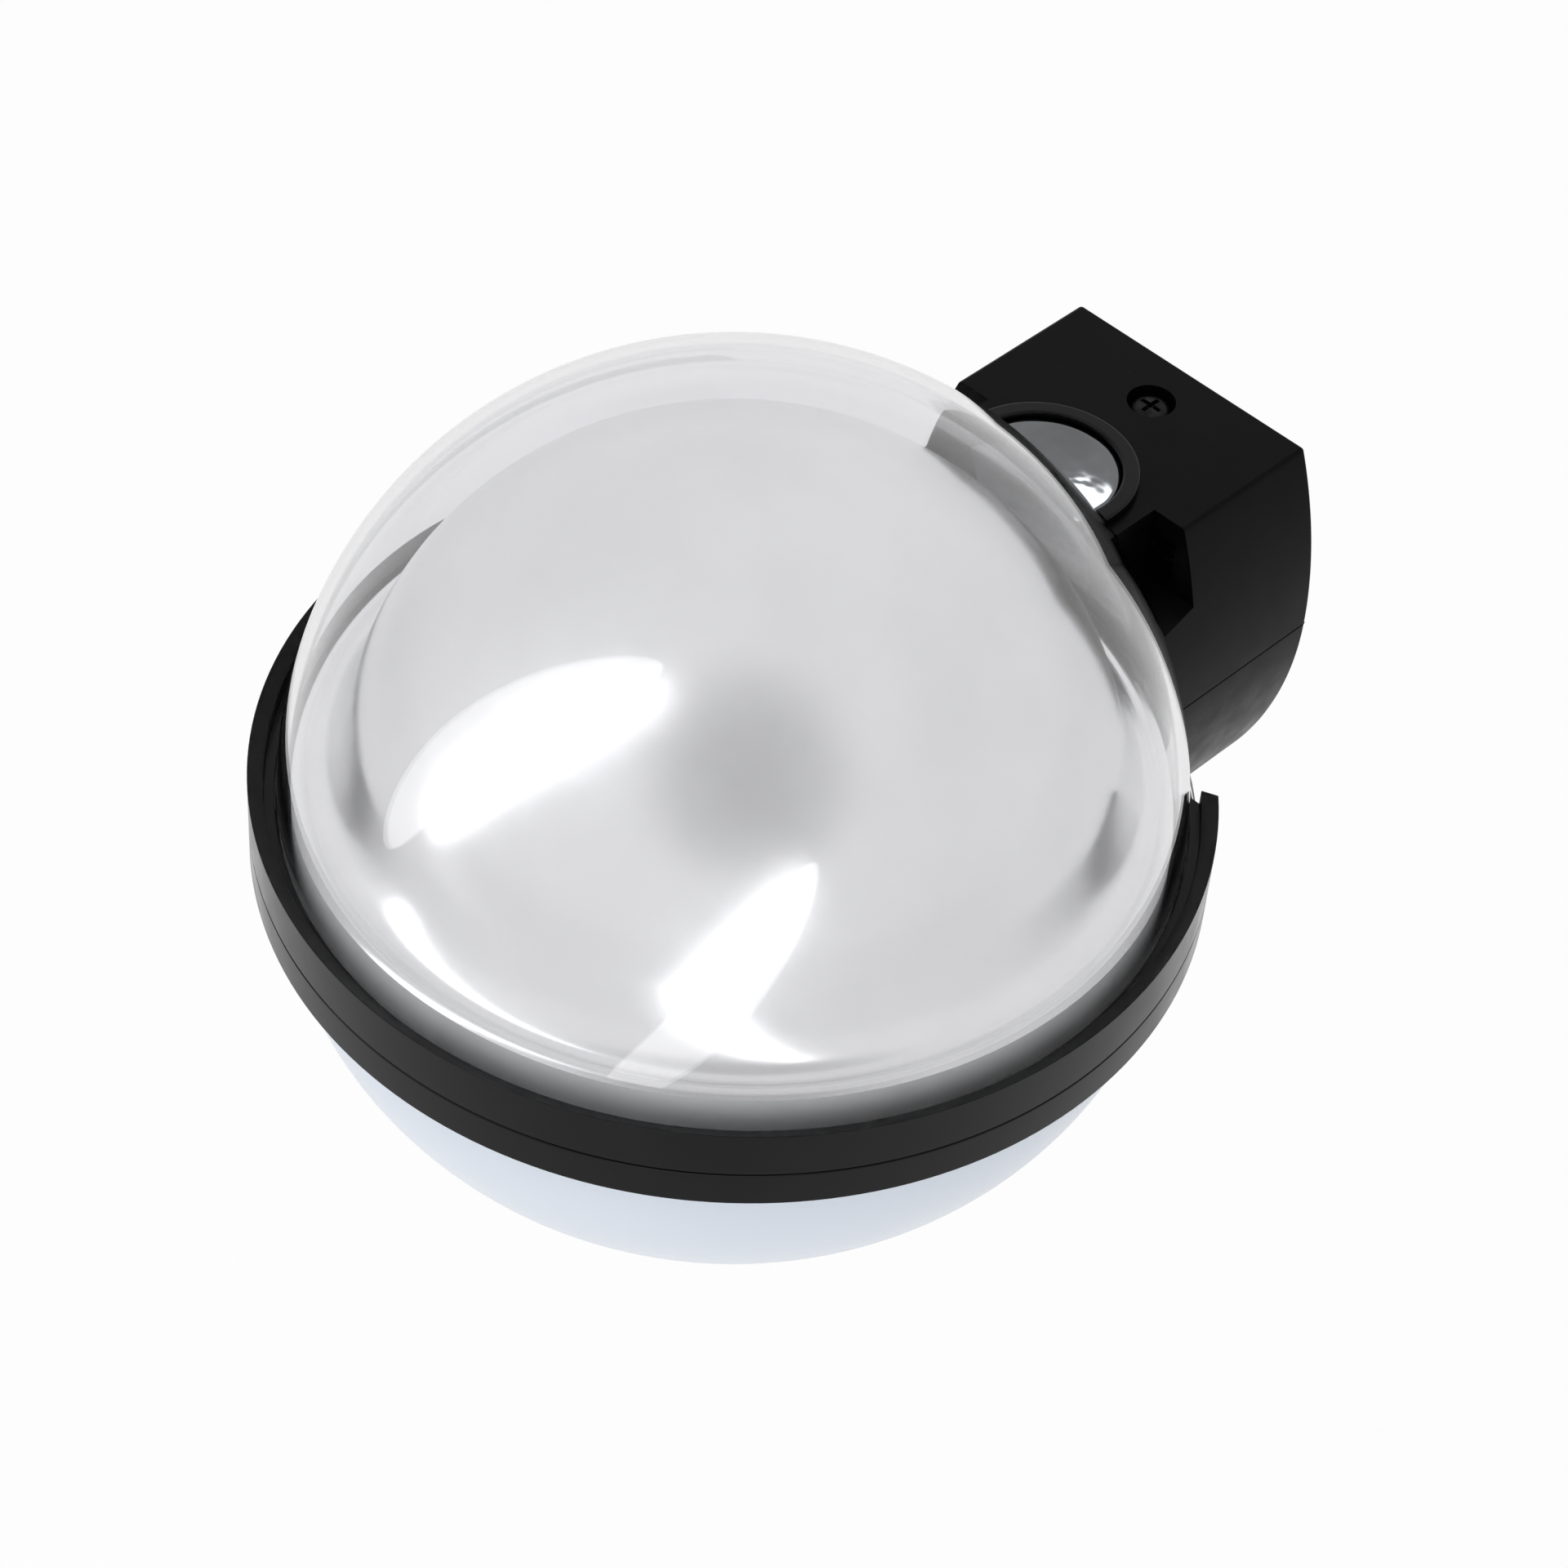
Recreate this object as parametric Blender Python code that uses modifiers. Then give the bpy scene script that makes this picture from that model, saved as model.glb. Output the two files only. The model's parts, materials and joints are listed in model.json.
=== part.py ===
"""Wall-mounted horn strobe: a clear dome over a silver one, a translucent bowl below, on a barrel bracket.

Metres, +Z up. The wall face is the plane y = 0, the symmetry plane is x = 0,
and z = 0 is the mid-height of the black band round the globe.
"""
import math

import bmesh
import bpy
from mathutils import Matrix

# ---- fits -------------------------------------------------------------------------------
gap = 0.0003                # between pieces that touch
running_gap = 0.0001        # hinge pin in its knuckles
dome_air = 0.0012           # between the button's front and the clear dome
past = 0.001                # how far a cutter runs past the face it cuts
sink = 0.0005               # how deep an added shape runs into its body

# ---- globe ------------------------------------------------------------------------------
dome_radius = 0.0942
dome_centre_z = 0.003
dome_wall = 0.0022
rim_step = 0.0023           # rim of dome, chassis and bowl, beyond the dome
flange_thick = 0.0018
gasket_thick = 0.0007
gasket_width = 0.0039
chassis_top = -0.0006
chassis_thick = 0.004
bowl_step = 0.0015          # the rim beyond the bowl
bowl_depth = 0.081          # below the band
bowl_wall = 0.0024
silver_air = 0.0115         # clear dome's inside to the silver one's side
silver_top_air = 0.0109     # and to its top
silver_rim_air = 0.0011
silver_wall = 0.0016
silver_base_z = 0.010
silver_shoulder = 1.12      # above 1 the dome's sides are straighter than an ellipse
silver_rim_rise = 0.0023
silver_skirt_inset = 0.0008  # rim to the skirt that stands on the chassis
band_wall = 0.0032
band_half_height = 0.010
band_split_z = -0.0014
band_lip_thick = 0.0016
band_slope = 0.0018         # fall of the band's top face towards the dome
band_edge = 0.0006
band_cut_share = 0.682      # of the band's radius: where its ends are cut off, towards the wall

# ---- strobe light -----------------------------------------------------------------------
cone_radius = 0.062
cone_depth = 0.028
cone_crown = 0.014
cone_wall = 0.0012
tube_radius = 0.003
tube_half_length = 0.031
tube_drop = 0.0107          # chassis underside to the top of the tube
post_set = 0.003            # tube's end to its post
post_radius = 0.0032
lead_radius = 0.0007
board_thick = 0.0016
strobe_board_half_x = 0.042
strobe_board_half_y = 0.032
strobe_board_lift = 0.0053  # chassis top to the board
board_screw_inset = 0.004
capacitor_radius = 0.010
capacitor_length = 0.040
capacitor_offset_y = 0.011
coil_size = (0.014, 0.012, 0.011)
inductor_radius = 0.008
inductor_height = 0.0065

# ---- screws -----------------------------------------------------------------------------
small_shank = 0.0011
small_head = 0.0023
small_head_thick = 0.0015
medium_shank = 0.0014
medium_head = 0.0028
medium_head_thick = 0.002
lock_shank = 0.002
lock_head = 0.0046
lock_head_thick = 0.003
lock_setback = 0.0107       # plate's front to the lock screw
lock_well_depth = 0.0044
lock_well_air = 0.0008
lock_floor = 0.0027
lock_boss_wall = 0.0034
lock_drive_deep = 0.0012
lug_air = 0.0004            # under the lock screw's boss
lock_lug_thick = 0.006
lock_lug_half = 0.007

# ---- button -----------------------------------------------------------------------------
button_radius = 0.0168
button_set = 0.0065         # globe's rim to the button's centre
button_proud = 0.0019
button_wall = 0.0018
button_travel = 0.002
button_boss_radius = 0.0032
stem_radius = 0.0016
stem_inset = 0.0051         # back of the button to its stem
skirt_air = 0.0005          # skirt to the deck, pressed
well_depth = 0.0274         # bracket's top to the deck
bezel_width = 0.0037
bezel_height = 0.0019
bezel_edge = 0.0006
spring_wire = 0.0005
spring_radius = 0.0025
spring_room = 0.0115        # deck to the button's boss
spring_turns = 5
spring_points = 8
switch_side = 0.006
switch_height = 0.0033
switch_cap_radius = 0.0012
switch_air = 0.0007         # switch to the deck, above the travel
switch_board_half = 0.0066

# ---- bracket ----------------------------------------------------------------------------
neck_margin = 0.0032        # neck beyond the bezel
port_margin = 0.0013        # bracket's top beyond the sound ports
upper_bulge = 0.0087        # seam beyond the top, each side
lower_bulge = 0.012         # seam beyond the bottom, each side
bracket_drop = 0.0455       # seam to the bottom
bracket_wall = 0.0025
front_wall = 0.0016
seam_air = 0.0006           # chassis screws to the seam
ledge_drop = 0.0184         # bracket's top to the notch floor at the front face
ledge_fall = 0.005
ledge_run = 0.020
plate_thick = 0.003
deck_air = 0.0004           # baffle screws to the deck
deck_thick = 0.0023
deck_run = 0.009            # deck's back to the front face beside the neck
deck_lap = 0.0007
rim_air = 0.0025            # front face beside the neck to the globe's rim
tongue_margin = 0.004       # neck beyond the tongue
tongue_rib = 0.003
tongue_rib_height = 0.008
tongue_screw_share = 0.6    # of the tongue's half width
tongue_notch_back = 0.005   # notch's back to the deck's
tongue_boss_radius = 0.003
root_lap = 0.004            # tongue into the chassis disc

# ---- hinge of the terminal cover --------------------------------------------------------
hinge_out = 0.0026          # bracket's side to the hinge
knuckle_radius = 0.0022
pin_radius = 0.001
knuckle_start = 0.008       # from the wall
knuckle_length = 0.004
hinge_web = 0.0014

# ---- wall plate and what stands on it ---------------------------------------------------
cable_hole_radius = 0.008
cable_rise = 0.017          # bracket's bottom to the cable hole
grommet_bore = 0.0065
grommet_flange = 0.0095
grommet_lip = 0.0012
slot_inset = 0.011          # bracket's side to a screw slot
slot_radius = 0.0022
slot_run = 0.003
post_inset = 0.005
post_width = 0.003
magnet_air = 0.0045         # wall plate to the magnet
horn_air = 0.0014           # horn to the lock screw's lug
horn_radius = 0.014
horn_wall = 0.0015
horn_depth = 0.0137
horn_throat = 0.012
horn_hub_step = 0.0018
baffle_thick = 0.0013
baffle_margin = 0.012
baffle_half_height = 0.0137
baffle_screw = 0.007
magnet_radius = 0.009
magnet_length = 0.0057
cone_disc_radius = 0.0119
cone_disc_thick = 0.0005
cone_disc_bulge = 0.002
cone_disc_setback = 0.0027
voice_coil_radius = 0.0058
voice_coil_wall = 0.0006
voice_coil_length = 0.006
port_inset = 0.0015         # neck to the sound port
port_width = 0.0055
port_rise = 0.002           # notch floor to the sound port
port_height = 0.0115
mesh_thick = 0.0008
mesh_edge = 0.0009
mesh_slots = 4
mesh_slot = 0.0012
control_margin = 0.014      # bracket's side to the control board
control_drop = 0.0015       # seam to the control board
control_height = 0.019
control_lift = 0.0032
standoff_radius = 0.0025
standoff_wall = 0.0005      # more of it round the chassis's standoffs
block_half = 0.012
block_depth = 0.009
block_height = 0.009
block_poles = 4
pole_screw = 0.0019
pole_deep = 0.003
wire_way_start = 0.0038
wire_way_end = 0.007
selector_length = 0.014
selector_depth = 0.005
selector_height = 0.005
selector_inset = 0.011      # board's side to the selector's middle
selector_drop = 0.0045      # board's top to the selector's middle
slider_length = 0.0028
slider_height = 0.0014
slider_proud = 0.0016
slider_travel = 0.006
dial_radius = 0.004
dial_depth = 0.0033
dial_slot_deep = 0.0012
dial_base_radius = 0.0045
dial_base_depth = 0.0019
dial_inset = 0.0107         # board's side to the dial's middle
harness_radius = 0.001
harness_x = 0.005
groove_half = 0.0018
groove_depth = 0.0024
harness_slot = 0.015        # board's edge to the end of the slot in the chassis
harness_rise = 0.003        # board's edge to the lead's last bend
harness_bend = 0.004

# ---- heights that follow from the stack round the globe's rim -----------------------------
chassis_bottom = chassis_top - chassis_thick
dome_flange_z = chassis_top + gap + gasket_thick + gap
dome_lip_z = dome_flange_z + flange_thick + gap
bowl_flange_z = chassis_bottom - gap - gasket_thick - gap
bowl_lip_z = bowl_flange_z - flange_thick - gap
strobe_board_z = chassis_top + strobe_board_lift
post_spread = tube_half_length - post_set
silver_height = dome_centre_z + dome_radius - dome_wall - silver_top_air - silver_base_z

# ---- radii that follow from the clear dome ------------------------------------------------
flange_radius = dome_radius + rim_step
clear_radius = flange_radius + gap
band_radius = clear_radius + band_wall
bowl_radius = flange_radius - bowl_step
gasket_inner = flange_radius - gasket_width
silver_radius = dome_radius - dome_wall - silver_air
silver_rim_radius = dome_radius - dome_wall - silver_rim_air

# ---- heights that follow in the bracket ---------------------------------------------------
switch_board_z = chassis_top + gap
switch_top_z = switch_board_z + board_thick + gap + switch_height + switch_cap_radius * 0.5
deck_top_z = switch_top_z + button_travel + switch_air + deck_thick
button_skirt_z = deck_top_z + button_travel + skirt_air
button_boss_z = deck_top_z + spring_room
bracket_top_z = deck_top_z + well_depth
bracket_seam_z = chassis_bottom - gap - medium_head_thick - seam_air
bracket_bottom_z = bracket_seam_z - bracket_drop
housing_bottom_z = bracket_seam_z + gap / 2
cover_top_z = bracket_seam_z - gap / 2
ledge_back_z = bracket_top_z - ledge_drop
ledge_front_z = ledge_back_z - ledge_fall
port_bottom_z = ledge_back_z + port_rise
lock_floor_z = bracket_top_z - lock_well_depth - lock_floor
lock_lug_top_z = lock_floor_z - lug_air
horn_z = lock_lug_top_z - lock_lug_thick - horn_air - horn_radius
control_top_z = bracket_seam_z - control_drop
control_bottom_z = control_top_z - control_height
block_bottom_z = control_bottom_z + sink
selector_z = control_top_z - selector_drop
cable_hole_z = bracket_bottom_z + cable_rise

# ---- widths that follow from the button ---------------------------------------------------
bezel_radius = button_radius + gap + bezel_width
neck_half = bezel_radius + neck_margin
tongue_half = neck_half - tongue_margin
port_inner_x = neck_half + port_inset
bracket_top_half = port_inner_x + port_width + port_margin
bracket_half = bracket_top_half + upper_bulge
bracket_bottom_half = bracket_half - lower_bulge
hinge_x = -bracket_half - hinge_out
slot_x = bracket_half - slot_inset
plate_inset = bracket_wall + gap
cover_swing = bracket_half - bracket_wall - hinge_x
baffle_half = horn_radius + baffle_margin
post_x = baffle_half - post_inset
control_half = bracket_half - control_margin
selector_x = selector_inset - control_half
dial_x = control_half - dial_inset

# ---- depths that follow from the wall outwards --------------------------------------------
plate_front_y = -plate_thick
shell_back_y = -gap
lock_y = plate_front_y - lock_setback
horn_face_y = plate_front_y - magnet_air - magnet_length - gap - horn_depth
deck_back_y = horn_face_y - gap - baffle_thick - gap - small_head_thick - deck_air
bracket_depth = deck_run - deck_back_y
axis_y = -bracket_depth - rim_air - flange_radius
front_reach_y = axis_y + clear_radius * 0.85
button_centre_y = axis_y + flange_radius - button_set
stem_y = button_centre_y + button_radius - stem_inset
knuckle_end_y = -knuckle_start
knuckle_far_y = knuckle_length - bracket_depth
board_face_y = plate_front_y - control_lift - board_thick

# ---- finishes: colour, roughness, metallic, alpha -----------------------------------------
finishes = {
    "clear_plastic": ((0.93, 0.95, 0.96), 0.05, 0.0, 0.25),
    "silvered_plastic": ((0.86, 0.87, 0.88), 0.12, 1.0, 1.0),
    "opal_plastic": ((0.84, 0.87, 0.95), 0.25, 0.0, 1.0),
    "black_plastic": ((0.012, 0.012, 0.013), 0.22, 0.0, 1.0),
    "light_plastic": ((0.62, 0.63, 0.64), 0.45, 0.0, 1.0),
    "chrome": ((0.80, 0.81, 0.82), 0.08, 1.0, 1.0),
    "black_steel": ((0.02, 0.02, 0.021), 0.38, 1.0, 1.0),
    "black_rubber": ((0.02, 0.02, 0.02), 0.80, 0.0, 1.0),
    "board": ((0.03, 0.16, 0.07), 0.50, 0.0, 1.0),
    "zinc": ((0.60, 0.61, 0.62), 0.30, 1.0, 1.0),
    "glass": ((0.95, 0.96, 0.97), 0.03, 0.0, 0.3),
    "ceramic": ((0.85, 0.83, 0.78), 0.40, 0.0, 1.0),
    "copper": ((0.72, 0.33, 0.18), 0.35, 1.0, 1.0),
    "ferrite": ((0.05, 0.05, 0.055), 0.60, 0.0, 1.0),
    "capacitor_sleeve": ((0.02, 0.03, 0.09), 0.35, 0.0, 1.0),
    "green_plastic": ((0.05, 0.30, 0.12), 0.40, 0.0, 1.0),
    "grey_plastic": ((0.25, 0.25, 0.26), 0.45, 0.0, 1.0),
    "red_lead": ((0.45, 0.03, 0.02), 0.45, 0.0, 1.0),
}


# ---- scene and materials ------------------------------------------------------------------
def clear_scene():
    for old in list(bpy.data.objects):
        bpy.data.objects.remove(old, do_unlink=True)
    for name in ("horn_strobe", "cutters"):
        collection = bpy.data.collections.get(name) or bpy.data.collections.new(name)
        if collection.name not in bpy.context.scene.collection.children:
            bpy.context.scene.collection.children.link(collection)


def finish(name):
    material = bpy.data.materials.get(name)
    if material:
        return material
    colour, roughness, metallic, alpha = finishes[name]
    material = bpy.data.materials.new(name)
    material.use_nodes = True
    shader = material.node_tree.nodes["Principled BSDF"]
    shader.inputs["Base Color"].default_value = (*colour, 1.0)
    shader.inputs["Roughness"].default_value = roughness
    shader.inputs["Metallic"].default_value = metallic
    shader.inputs["Alpha"].default_value = alpha
    return material


def keep(name, mesh, look, smooth=False):
    """A sub-part when it has a finish, or a cutter when it has none."""
    made = bpy.data.objects.new(name, mesh)
    if look is None:
        bpy.data.collections["cutters"].objects.link(made)
        made.hide_render = True
        made.display_type = "WIRE"
        return made
    bpy.data.collections["horn_strobe"].objects.link(made)
    mesh.materials.append(finish(look))
    if smooth:
        mesh.shade_smooth()
        mesh.set_sharp_from_angle(angle=math.radians(35))
    return made


# ---- shapes -------------------------------------------------------------------------------
def box(name, low, high, look=None):
    shape = bmesh.new()
    bmesh.ops.create_cube(shape, size=1.0)
    for corner in shape.verts:
        for axis in range(3):
            corner.co[axis] = low[axis] if corner.co[axis] < 0 else high[axis]
    mesh = bpy.data.meshes.new(name)
    shape.to_mesh(mesh)
    shape.free()
    return keep(name, mesh, look)


def rod_shape(shape, radius, start, end, axis, sides):
    """A cylinder from start along one axis to the coordinate end."""
    length = end - start[axis]
    turn = {0: Matrix.Rotation(math.pi / 2, 4, "Y"), 1: Matrix.Rotation(-math.pi / 2, 4, "X"),
            2: Matrix.Identity(4)}[axis]
    middle = list(start)
    middle[axis] += length / 2
    bmesh.ops.create_cone(shape, cap_ends=True, segments=sides, radius1=radius, radius2=radius,
                          depth=abs(length), matrix=Matrix.Translation(middle) @ turn)


def rods(name, radius, starts, end, axis, look=None, sides=12):
    """One object of equal cylinders, one from each start."""
    shape = bmesh.new()
    for start in starts:
        rod_shape(shape, radius, start, end, axis, sides)
    mesh = bpy.data.meshes.new(name)
    shape.to_mesh(mesh)
    shape.free()
    return keep(name, mesh, look, smooth=look is not None)


def rod(name, radius, start, end, axis, look=None, sides=12):
    return rods(name, radius, [start], end, axis, look, sides)


def screw(name, place, axis, head, shank, towards, look="zinc"):
    """A screw whose head starts at the place: head and shank are (radius, length)."""
    end = -head[1] - shank[1]
    profile = [(0.0, 0.0), (head[0] * 0.85, 0.0), (head[0], -head[1] * 0.3), (head[0], -head[1]),
               (shank[0], -head[1]), (shank[0], end), (0.0, end)]
    tilt = math.pi / 2 if axis == 1 else (0.0 if towards < 0 else math.pi)
    return turned(name, profile, 10, look, closed=False, centre=place, tilt=tilt)


def screws(name, places, axis, head, shank, towards):
    for number, place in enumerate(places, 1):
        screw("%s_%d" % (name, number), place, axis, head, shank, towards)


def turned(name, profile, steps, look=None, closed=True, centre=(0.0, 0.0, 0.0), tilt=0.0):
    """A profile of (radius, height) points turned about its axis; it runs down its outer side.

    A tilt of a quarter turn about x lays the axis along the wall's direction, top towards the front.
    """
    mesh = bpy.data.meshes.new(name)
    ring = [(r, 0.0, z) for r, z in profile]
    edges = [(i, i + 1) for i in range(len(ring) - 1)]
    if closed:
        edges.append((len(ring) - 1, 0))
    mesh.from_pydata(ring, edges, [])
    made = keep(name, mesh, look)
    spin = made.modifiers.new("turn", "SCREW")
    spin.steps = steps
    spin.render_steps = steps
    spin.use_merge_vertices = True
    spin.merge_threshold = 0.00001
    spin.use_smooth_shade = True
    made.location = centre
    made.rotation_euler = (tilt, 0.0, 0.0)
    return made


def prism(name, outline, low, high, axis, look=None):
    """A flat outline pushed along x (outline in y, z), y (outline in x, z) or z (outline in x, y)."""
    flat = bpy.data.curves.new(name, "CURVE")
    flat.dimensions = "2D"
    flat.fill_mode = "BOTH"
    flat.extrude = (high - low) / 2
    line = flat.splines.new("POLY")
    line.points.add(len(outline) - 1)
    for point, (a, b) in zip(line.points, outline):
        point.co = (a, b, 0.0, 1.0)
    line.use_cyclic_u = True
    sheet = bpy.data.objects.new(name + "_outline", flat)
    bpy.data.collections["cutters"].objects.link(sheet)
    bpy.context.view_layer.update()
    mesh = bpy.data.meshes.new_from_object(sheet.evaluated_get(bpy.context.evaluated_depsgraph_get()))
    bpy.data.objects.remove(sheet, do_unlink=True)
    turn = {0: Matrix(((0, 0, 1), (1, 0, 0), (0, 1, 0))).to_4x4(),
            1: Matrix(((1, 0, 0), (0, 0, -1), (0, 1, 0))).to_4x4(), 2: Matrix.Identity(4)}[axis]
    shift = [0.0, 0.0, 0.0]
    shift[axis] = (low + high) / 2
    shape = bmesh.new()
    shape.from_mesh(mesh)
    bmesh.ops.remove_doubles(shape, verts=shape.verts, dist=0.000001)
    bmesh.ops.transform(shape, matrix=Matrix.Translation(shift) @ turn, verts=shape.verts)
    bmesh.ops.recalc_face_normals(shape, faces=shape.faces)
    shape.to_mesh(mesh)
    shape.free()
    mesh.materials.clear()
    return keep(name, mesh, look)


def tube(name, points, radius, look, corner=2):
    line = bpy.data.curves.new(name, "CURVE")
    line.dimensions = "3D"
    line.bevel_depth = radius
    line.bevel_resolution = corner
    line.use_fill_caps = True
    run = line.splines.new("POLY")
    run.points.add(len(points) - 1)
    for point, place in zip(run.points, points):
        point.co = (*place, 1.0)
    run.use_smooth = True
    made = bpy.data.objects.new(name, line)
    bpy.data.collections["horn_strobe"].objects.link(made)
    line.materials.append(finish(look))
    return made


def combine(target, other, operation):
    change = target.modifiers.new(operation.lower(), "BOOLEAN")
    change.operation = operation
    change.solver = "EXACT"
    change.object = other


def cut(target, *others):
    for other in others:
        combine(target, other, "DIFFERENCE")


def add(target, *others):
    for other in others:
        combine(target, other, "UNION")


def set_origin(target, place):
    """Move the object's origin and leave its shape where it is."""
    target.data.transform(Matrix.Translation([-value for value in place]))
    target.location = place


# ---- outlines -----------------------------------------------------------------------------
def arc_points(centre, radii, start, end, count, power=1.0):
    """Points on an ellipse quarter, angles in degrees from the rim; power above 1 straightens it."""
    points = []
    for i in range(count + 1):
        angle = math.radians(start + (end - start) * i / count)
        side = max(math.cos(angle), 0.0) ** power
        points.append((centre[0] + radii[0] * side, centre[1] + radii[1] * math.sin(angle)))
    return points


def barrel_half(z, inset=0.0):
    """Half width of the bracket's barrel section at a height."""
    upper = z > bracket_seam_z
    rise = (bracket_top_z if upper else bracket_bottom_z) - bracket_seam_z
    fall = bracket_half - (bracket_top_half if upper else bracket_bottom_half)
    radius = (rise * rise + fall * fall) / (2 * fall)
    return bracket_half - inset - (radius - math.sqrt(radius * radius - (z - bracket_seam_z) ** 2))


def barrel(low, high, inset=0.0, steps=7):
    """Closed outline (x, z) of the barrel section between two heights."""
    heights = [low + (high - low) * i / steps for i in range(steps + 1)]
    right = [(barrel_half(z, inset), z) for z in heights]
    left = [(-x, z) for x, z in reversed(right)]
    return right + left


def plate_outline():
    """The wall plate inside the bracket's walls, clear of the cover's swing below the seam."""
    upper = barrel(bracket_seam_z, bracket_top_z - plate_inset, plate_inset)
    low = bracket_bottom_z + plate_inset
    right = []
    for i in range(7):
        z = low + (bracket_seam_z - low) * i / 7
        swing = hinge_x + math.sqrt((cover_swing - gap) ** 2 - (z - bracket_seam_z) ** 2)
        right.append((min(barrel_half(z, plate_inset), swing), z))
    return right + upper + [(-x, z) for x, z in reversed(right)]


def globe_clearance(name, radius, rise=0.0, steps=48):
    """A cutter a little larger than the globe: a dome above, straight sides below."""
    centre = dome_centre_z + rise
    profile = arc_points((0.0, centre), (radius, radius), 90, 0, 11)
    profile += [(radius, bracket_bottom_z * 1.5), (0.0, bracket_bottom_z * 1.5)]
    return turned(name, profile, steps, closed=False, centre=(0.0, axis_y, 0.0))


# ---- globe --------------------------------------------------------------------------------
def make_upper_dome():
    outer = arc_points((0.0, dome_centre_z), (dome_radius, dome_radius), 90, 0, 9)
    inside = dome_radius - dome_wall
    inner = arc_points((0.0, dome_centre_z), (inside, inside), 0, 90, 7)
    top = dome_flange_z + flange_thick
    rim = [(dome_radius, top), (flange_radius, top), (flange_radius, dome_flange_z), (inside, dome_flange_z)]
    turned("upper_dome", outer + rim + inner, 36, "clear_plastic", closed=False, centre=(0.0, axis_y, 0.0))


def make_reflector_cover():
    base = (0.0, silver_base_z)
    outer = arc_points(base, (silver_radius, silver_height), 90, 0, 9, silver_shoulder)
    thin = (silver_radius - silver_wall, silver_height - silver_wall)
    inner = arc_points(base, thin, 0, 90, 5, silver_shoulder)
    foot = chassis_top + gap
    under = silver_base_z - silver_wall
    slope = silver_rim_rise / (silver_rim_radius - silver_radius)
    skirt = silver_rim_radius - silver_skirt_inset
    rim = [(silver_rim_radius, silver_base_z + silver_rim_rise), (silver_rim_radius, under + silver_rim_rise),
           (skirt, under + slope * (skirt - silver_radius)), (skirt, foot), (skirt - silver_wall, foot),
           (skirt - silver_wall, under + slope * (skirt - silver_wall - silver_radius)), (silver_radius, under)]
    turned("reflector_cover", outer + rim + inner, 36, "silvered_plastic", closed=False,
           centre=(0.0, axis_y, 0.0))


def band_ring(name, profile):
    ring = turned(name, profile, 48, "black_plastic", centre=(0.0, axis_y, 0.0))
    side = band_radius + past
    low = (-side, axis_y + band_radius * band_cut_share, -2 * band_half_height)
    cut(ring, box(name + "_opening", low, (side, axis_y + side, 2 * band_half_height)))


def make_bands():
    top = band_half_height
    seam = band_split_z + gap / 2
    lip = dome_radius + gap
    lip_top = dome_lip_z + band_lip_thick
    upper = [(band_radius - band_edge, top), (band_radius, top - band_edge), (band_radius, seam + band_edge),
             (band_radius - band_edge, seam), (clear_radius, seam), (clear_radius, dome_lip_z),
             (lip, dome_lip_z), (lip, lip_top), (clear_radius, lip_top), (clear_radius, top - band_slope)]
    band_ring("upper_band", upper)
    seam = band_split_z - gap / 2
    lip = bowl_radius + gap
    lower = [(band_radius - band_edge, seam), (band_radius, seam - band_edge), (band_radius, band_edge - top),
             (band_radius - band_edge, -top), (lip, -top), (lip, bowl_lip_z), (clear_radius, bowl_lip_z),
             (clear_radius, seam)]
    band_ring("lower_band", lower)


def make_lower_bowl():
    band_foot = -band_half_height
    outer = arc_points((0.0, band_foot), (bowl_radius, -bowl_depth), 0, 90, 9)
    inside = bowl_radius - bowl_wall
    inner = arc_points((0.0, band_foot), (inside, bowl_wall - bowl_depth), 90, 0, 5)
    low = bowl_flange_z - flange_thick
    rim = [(inside, bowl_flange_z), (flange_radius, bowl_flange_z), (flange_radius, low), (bowl_radius, low)]
    turned("lower_bowl", rim[1:] + outer + inner + rim[:1], 36, "opal_plastic", centre=(0.0, axis_y, 0.0))


def make_gaskets():
    under = chassis_bottom - gap - gasket_thick
    for name, low in (("dome_gasket", chassis_top + gap), ("bowl_gasket", under)):
        high = low + gasket_thick
        ring = [(flange_radius, high), (flange_radius, low), (gasket_inner, low), (gasket_inner, high)]
        turned(name, ring, 32, "black_rubber", centre=(0.0, axis_y, 0.0))


def strobe_screw_places(z):
    x = strobe_board_half_x - board_screw_inset
    y = strobe_board_half_y - board_screw_inset
    return [(sx * x, axis_y + sy * y, z) for sx in (-1, 1) for sy in (-1, 1)]


def chassis_screw_places(z):
    x = tongue_half * tongue_screw_share
    y = (deck_back_y - bracket_depth) / 2 + gap
    return [(-x, y, z), (x, y, z)]


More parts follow.
